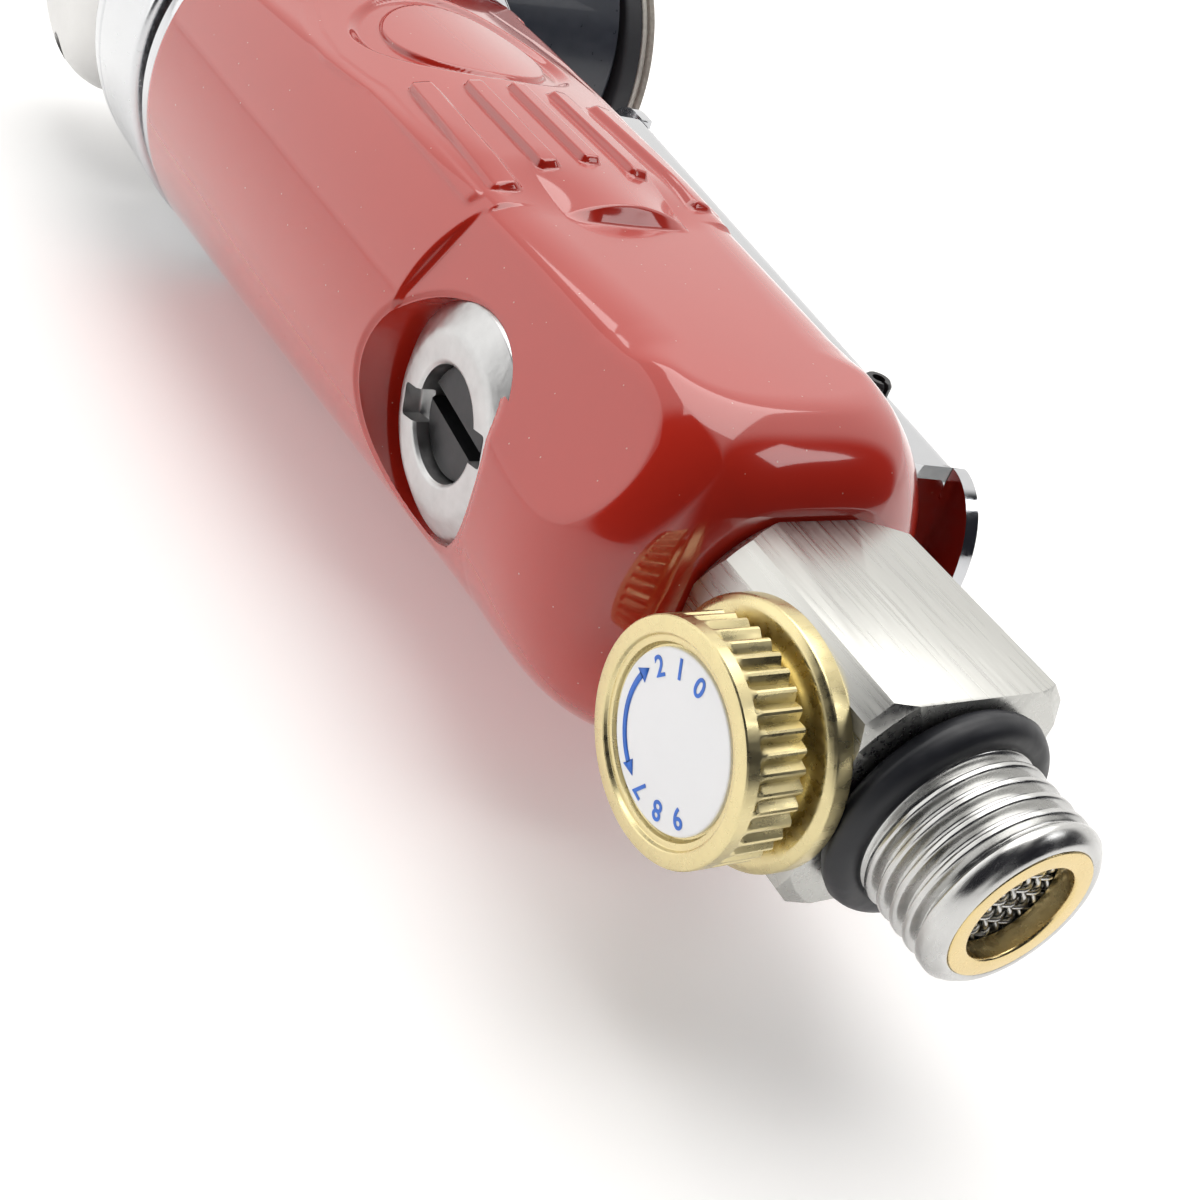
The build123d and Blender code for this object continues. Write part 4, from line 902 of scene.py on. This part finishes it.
# ======== valve inside the handle ========
# A bored brass seat, a steel stem with its head behind the seat, a sealing ring in the stem's gland and
# a coil spring between the head and the speed screw. All of it is hidden until the tool is taken apart.

machined = metal("machined_steel", (0.52, 0.53, 0.55), 0.27, grain=2200, stretch=(1, 0.15, 1),
                 grain_depth=0.008, mottle=0.12, mottle_grain=300)
spring_steel = metal("spring_steel", (0.30, 0.31, 0.33), 0.33, grain=1800, grain_depth=0.01, mottle=0.2)
refinish(bush_metal, "valve_seat")
refinish(machined, "throttle_stem")
refinish(rubber_black, "stem_o_ring")

spring_low, spring_high = box_mm("valve_spring")
coil_wire = 0.35
coil_radius = (spring_high[0] - spring_low[0]) / 2 - coil_wire
coil_foot = spring_low[1] + coil_wire
coil_height = spring_high[1] - spring_low[1] - 2 * coil_wire
coil_turns = 5
steps_per_turn = 40
coil_sides = 12
coil_steps = coil_turns * steps_per_turn
coil_points = []
for step in range(coil_steps + 1):
    angle = 2 * pi * step / steps_per_turn
    outward = Vector((cos(angle), 0, sin(angle)))
    along = Vector((-sin(angle), coil_height / (coil_turns * 2 * pi * coil_radius), cos(angle))).normalized()
    centre = Vector((valve_x, coil_foot + coil_height * step / coil_steps, 0)) + outward * coil_radius
    for side in range(coil_sides):
        around = 2 * pi * side / coil_sides
        offset = outward * cos(around) + along.cross(outward) * sin(around)
        coil_points.append((centre + offset * coil_wire) * MM)
coil_faces = [tuple(range(coil_sides)), tuple(range(len(coil_points) - coil_sides, len(coil_points)))]
coil_faces += band_faces(coil_steps + 1, coil_sides)
spring_coil = lay_piece("spring_coil", coil_points, coil_faces, "handle", spring_steel)
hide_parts("valve_spring")
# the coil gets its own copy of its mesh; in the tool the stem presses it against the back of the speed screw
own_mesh(spring_coil)

# ======== lever and its pin ========
# The throttle lever is one chromed steel sheet bent to a channel, with a rounded tongue at each end.
# It turns on a black slotted spring pin through the housing's lug.

lean = radians(7)
lever_along = Vector((-cos(lean), sin(lean), 0))
lever_out = Vector((sin(lean), cos(lean), 0))
lever_tail = 15.1
lever_reach = 62.0
half_width = 8.0
flange = 5.6
web_offset = 3.6
flange_rear = 9.6
tail_length = 5.5
free_end_length = 8.0
end_corner = 6.0
sheet = 1.2
bend = 1.9
web_flat = half_width - bend
flange_run = web_flat + bend * pi / 2 + flange - bend
lever_chrome = metal("chrome_plate", (0.61, 0.62, 0.64), 0.10, grain=1200, grain_depth=0.006, mottle=0.05,
                     mottle_grain=240)


def lever_half(s):
    """Half the unbent width of the sheet at station s, and how far it is bent over."""
    inset = max(0.0, end_corner - (lever_reach - s))
    tongue = half_width - end_corner + sqrt(max(0.0, end_corner * end_corner - inset * inset))
    if s < -flange_rear:
        tongue = 0.02 + 7.98 * sqrt(max(0.0, 1 - ((s + flange_rear) / tail_length) ** 2))
    behind = s + flange_rear
    ahead = lever_reach - free_end_length - s
    edge = min(behind, ahead)
    if edge <= 0:
        return tongue, 0.0
    rise = min(1.0, edge / 0.5)
    rise = sqrt(1 - (1 - rise) ** 2)
    return half_width + (flange_run - half_width) * rise, min(1.0, edge / 0.12)


flange_ends = (-0.6, 0.0, 0.02, 0.06, 0.12, 0.2, 0.35, 0.55, 0.8, 1.05, 1.3)
lever_stations = sorted(
    {-lever_tail + tail_length * (1 - cos(pi * k / 48)) for k in range(24)}
    | {-flange_rear + d for d in flange_ends}
    | set(np.arange(-7.5, lever_reach - 9.5, 1.5))
    | {lever_reach - free_end_length - d for d in flange_ends}
    | {lever_reach - end_corner * (1 - cos(pi * k / 36)) for k in range(19)}
)
across_steps = [k / 40 for k in range(-40, 41)]
outer_points = []
inner_points = []
for s in lever_stations:
    half, bent = lever_half(s)
    for u in across_steps:
        run = abs(u) * half
        sign = 1 if u >= 0 else -1
        if bent == 0 or run <= web_flat:
            place, depth, normal = run, 0.0, (0.0, 1.0)
        elif run <= web_flat + bend * pi / 2:
            a = (run - web_flat) / bend
            place, depth, normal = web_flat + bend * sin(a), bend * (1 - cos(a)), (sin(a), cos(a))
        else:
            place, depth, normal = half_width, bend + run - web_flat - bend * pi / 2, (1.0, 0.0)
        if 0 < bent < 1:
            flat_place = min(run, half_width)
            place = flat_place + (place - flat_place) * bent
            depth *= bent
        base = pivot + lever_along * s + lever_out * (web_offset - depth) + Vector((0, 0, sign * place))
        facing = lever_out * normal[1] + Vector((0, 0, sign * normal[0]))
        outer_points.append(base * MM)
        inner_points.append((base - facing * sheet) * MM)
lever_points = outer_points + inner_points
wide = len(across_steps)
long = len(lever_stations)
under = wide * long
lever_faces = []
for row in range(long - 1):
    for column in range(wide - 1):
        a = row * wide + column
        c = a + wide
        lever_faces.append((a, a + 1, c + 1, c))
        lever_faces.append((under + a, under + c, under + c + 1, under + a + 1))
# the sheet's cut edges: along both sides, then across both ends
for row in range(long - 1):
    a, c = row * wide, (row + 1) * wide
    lever_faces.append((a, c, under + c, under + a))
    a, c = a + wide - 1, c + wide - 1
    lever_faces.append((a, under + a, under + c, c))
for a in range(wide - 1):
    c = (long - 1) * wide + a
    lever_faces.append((a, under + a, under + a + 1, a + 1))
    lever_faces.append((c, c + 1, under + c + 1, under + c))
lever_piece = lay_piece("lever_channel", lever_points, lever_faces, "lever", lever_chrome, sharp=40)
lever_hole = turned("lever_hole", [(-12, 0, 0), (-12, 1.29, 0), (12, 1.29, 0), (12, 0, 0)], tuple(pivot),
                    (0, 0, 1), "lever", lever_chrome, segments=48)
cut_away(lever_piece, [lever_hole], 35)
break_edges(lever_piece, 0.16, 50)
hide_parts("throttle_lever")

pin_half = 9.9
pin_bore = 0.56
pin_points = [
    (-pin_half, pin_bore, 0), (-pin_half, 1.0, 0), (-9.6, pin_radius, 0.1), (9.6, pin_radius, 0.1),
    (pin_half, 1.0, 0), (pin_half, pin_bore, 0),
]
pin_piece = turned("pin_body", pin_points, tuple(pivot), (0, 0, 1), "handle", screw_black, segments=64,
                   closed=True)
pin_slit = slot_cutter("pin_slit", (pivot.x + 1.3, pivot.y, 0), (1.8, 0.42, 24), 0, 0.02)
cut_away(pin_piece, [pin_slit], 35)
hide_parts("lever_pin")

# ======== motor ========
# A vane motor fills the handle: steel cylinder, two aluminium end plates with ball bearings, a slotted
# rotor with fibre vanes, a locating dowel and the pinion that carries the drive into the head.

plain_aluminium = metal("plain_aluminium", (0.70, 0.70, 0.71), 0.34, grain=1900, stretch=(0.2, 1, 1),
                        grain_depth=0.012, mottle=0.12)
bearing_steel = metal("bearing_steel", (0.62, 0.63, 0.65), 0.16, grain=1700, grain_depth=0.006, mottle=0.08)
vane_fibre = metal("vane_fibre", (0.23, 0.10, 0.035), 0.55, grain=700, stretch=(0.15, 1, 1), grain_depth=0.03,
                   mottle=0.35, mottle_grain=350, metallic=0.0)
refinish(machined, "motor_cylinder", "motor_dowel", "rotor", "pinion")
refinish(plain_aluminium, "rear_end_plate", "front_end_plate", "clamp_sleeve")
refinish(bearing_steel, "rear_rotor_bearing", "front_rotor_bearing")
refinish(vane_fibre, "rotor_vanes")

# ======== clamp nut and spacer ring ========
# A plain satin-chromed nut screws onto the housing's threaded nose and clamps the head against the motor.
# A thin bright ring fills the step behind it, with a dark gap between the two.

ring_low, ring_high = box_mm("spacer_ring")
ring_front = ring_low[0]
ring_rear = ring_high[0]
nose_radius = 17.45
band_radius = 20.2
ring_profile = [
    (ring_front, nose_radius, 0), (ring_front, band_radius, 0.4), (ring_rear, band_radius, 0.3),
    (ring_rear, nose_radius, 0),
]
spacer = turned("spacer_band", ring_profile, (0, 0, 0), (1, 0, 0), "handle", lever_chrome, segments=192,
                closed=True)
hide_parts("spacer_ring")

satin_chrome = metal("satin_chrome", (0.65, 0.66, 0.675), 0.20, grain=1500, stretch=(0.5, 1, 1),
                     grain_depth=0.012, mottle=0.08, mottle_grain=120)
nut_low, nut_high = box_mm("clamp_nut")
nut_front = nut_low[0]
nut_rear = nut_high[0]
nut_radius = (nut_high[1] - nut_low[1]) / 2
nut_mouth = 14.2
groove_radius = nut_radius - 0.12
nut_profile = [
    (nut_front, nut_mouth, 0), (nut_front, nut_radius, 1.0), (nut_front + 2.2, nut_radius, 0),
    (nut_front + 2.35, groove_radius, 0.1), (nut_front + 2.7, groove_radius, 0.1),
    (nut_front + 2.85, nut_radius, 0), (nut_rear, nut_radius, 0.8), (nut_rear, nose_radius, 0),
    (nut_front + 3.0, nose_radius, 0), (nut_front + 3.0, nut_mouth, 0),
]
nut_piece = turned("nut_body", nut_profile, (0, 0, 0), (1, 0, 0), "handle", satin_chrome, segments=192,
                   closed=True)
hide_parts("clamp_nut")

# the housing's threaded nose, inside the ring and the nut
nose_bore, nose_crest, nose_root = 12.85, 17.38, 16.95
nose_points = [(-103.9, nose_bore, 0), (-103.9, 17.35, 0)]
for thread_turn in range(10):
    nose_start = -104.1 - thread_turn
    nose_points += [(nose_start, nose_crest, 0), (nose_start - 0.35, nose_crest, 0),
                    (nose_start - 0.65, nose_root, 0)]
nose_points += [(-114.5, 16.9, 0.3), (-114.5, nose_bore, 0)]
nose_thread = turned("housing_nose", nose_points, (0, 0, 0), (1, 0, 0), "handle", red_paint, segments=160,
                     closed=True, sharp=25)
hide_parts("housing")

# ======== angle head, gears and spindle ========
# The satin head turns the drive through a right angle: a pinion, a bevel gear on the spindle, ball bearings,
# a grease screw at the back and a screwed cover at the front. The weight on the eccentric balances the pad.

satin_head = metal("satin_head", (0.66, 0.655, 0.645), 0.40, grain=1600, grain_depth=0.03, mottle=0.12,
                   mottle_grain=110)
refinish(satin_head, "angle_head")
refinish(screw_black, "grease_screw")
refinish(machined, "head_cover", "bevel_gear", "spindle", "eccentric")
refinish(bearing_steel, "pinion_bearings", "upper_spindle_bearing", "lower_spindle_bearing", "pad_bearings")
refinish(plain_aluminium, "bearing_spacer")
refinish(spring_steel, "bearing_clip", "pad_bearing_clip")

# ======== guard ========
# A thin black sleeve is pushed over the head's front. It keeps dust off the eccentric and guards the
# fingers from it.

guard_low, guard_high = box_mm("guard")
guard_x = (guard_low[0] + guard_high[0]) / 2
guard_radius = (guard_high[0] - guard_low[0]) / 2
guard_bore = guard_radius - 1.4
guard_black = metal("guard_black", (0.034, 0.039, 0.052), 0.34, grain=900, grain_depth=0.02, mottle=0.3,
                    mottle_grain=300, metallic=0.0, coat=0.15)
guard_profile = [
    (guard_low[1], guard_bore, 0.1), (guard_low[1], guard_radius, 0.5), (guard_high[1], guard_radius, 0.5),
    (guard_high[1], guard_bore, 0.3),
]
guard_sleeve = turned("guard_sleeve", guard_profile, (guard_x, 0, 0), (0, 1, 0), "handle", guard_black,
                      segments=192, closed=True)
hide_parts("guard")

# ======== sanding pad ========
# A steel plate on the stud carries a soft rubber pad with a white hook layer. The abrasive disc is pressed
# onto the hooks and pulled off when it is worn.

pad_low, pad_high = box_mm("pad")
pad_x = (pad_low[0] + pad_high[0]) / 2
pad_z = (pad_low[2] + pad_high[2]) / 2
pad_rubber = metal("pad_rubber", (0.030, 0.031, 0.036), 0.62, grain=700, grain_depth=0.05, mottle=0.4,
                   mottle_grain=600, metallic=0.0)
hook_white = metal("hook_white", (0.60, 0.58, 0.53), 0.85, grain=1300, stretch=(1, 0.2, 1), grain_depth=0.10,
                   mottle=0.4, mottle_grain=1500, metallic=0.0)
abrasive = metal("abrasive", (0.36, 0.33, 0.29), 0.8, grain=2600, grain_depth=0.10, mottle=0.5,
                 mottle_grain=1800, metallic=0.0)
for name, node, radius, edge, finish, slot in (
    ("pad_disc", "pad", 16.6, 0.5, pad_rubber, "pad_rubber"),
    ("hook_sheet", "hook_layer", 16.55, 0.15, hook_white, "hook_white"),
    ("abrasive_sheet", "abrasive_disc", 17.0, 0.2, abrasive, "abrasive"),
):
    layer_low, layer_high = box_mm(node)
    back, front = layer_low[1], layer_high[1]
    layer = [
        (back, 0, 0), (back, radius, edge), ((back + front) / 2, radius + 0.02, 0), (front, radius, edge),
        (front, 0, 0),
    ]
    layer_piece = turned(name, layer, (pad_x, 0, pad_z), (0, 1, 0), "pad", finish, segments=192)
    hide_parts(node)
refinish(machined, "pad_stud", "pad_plate")
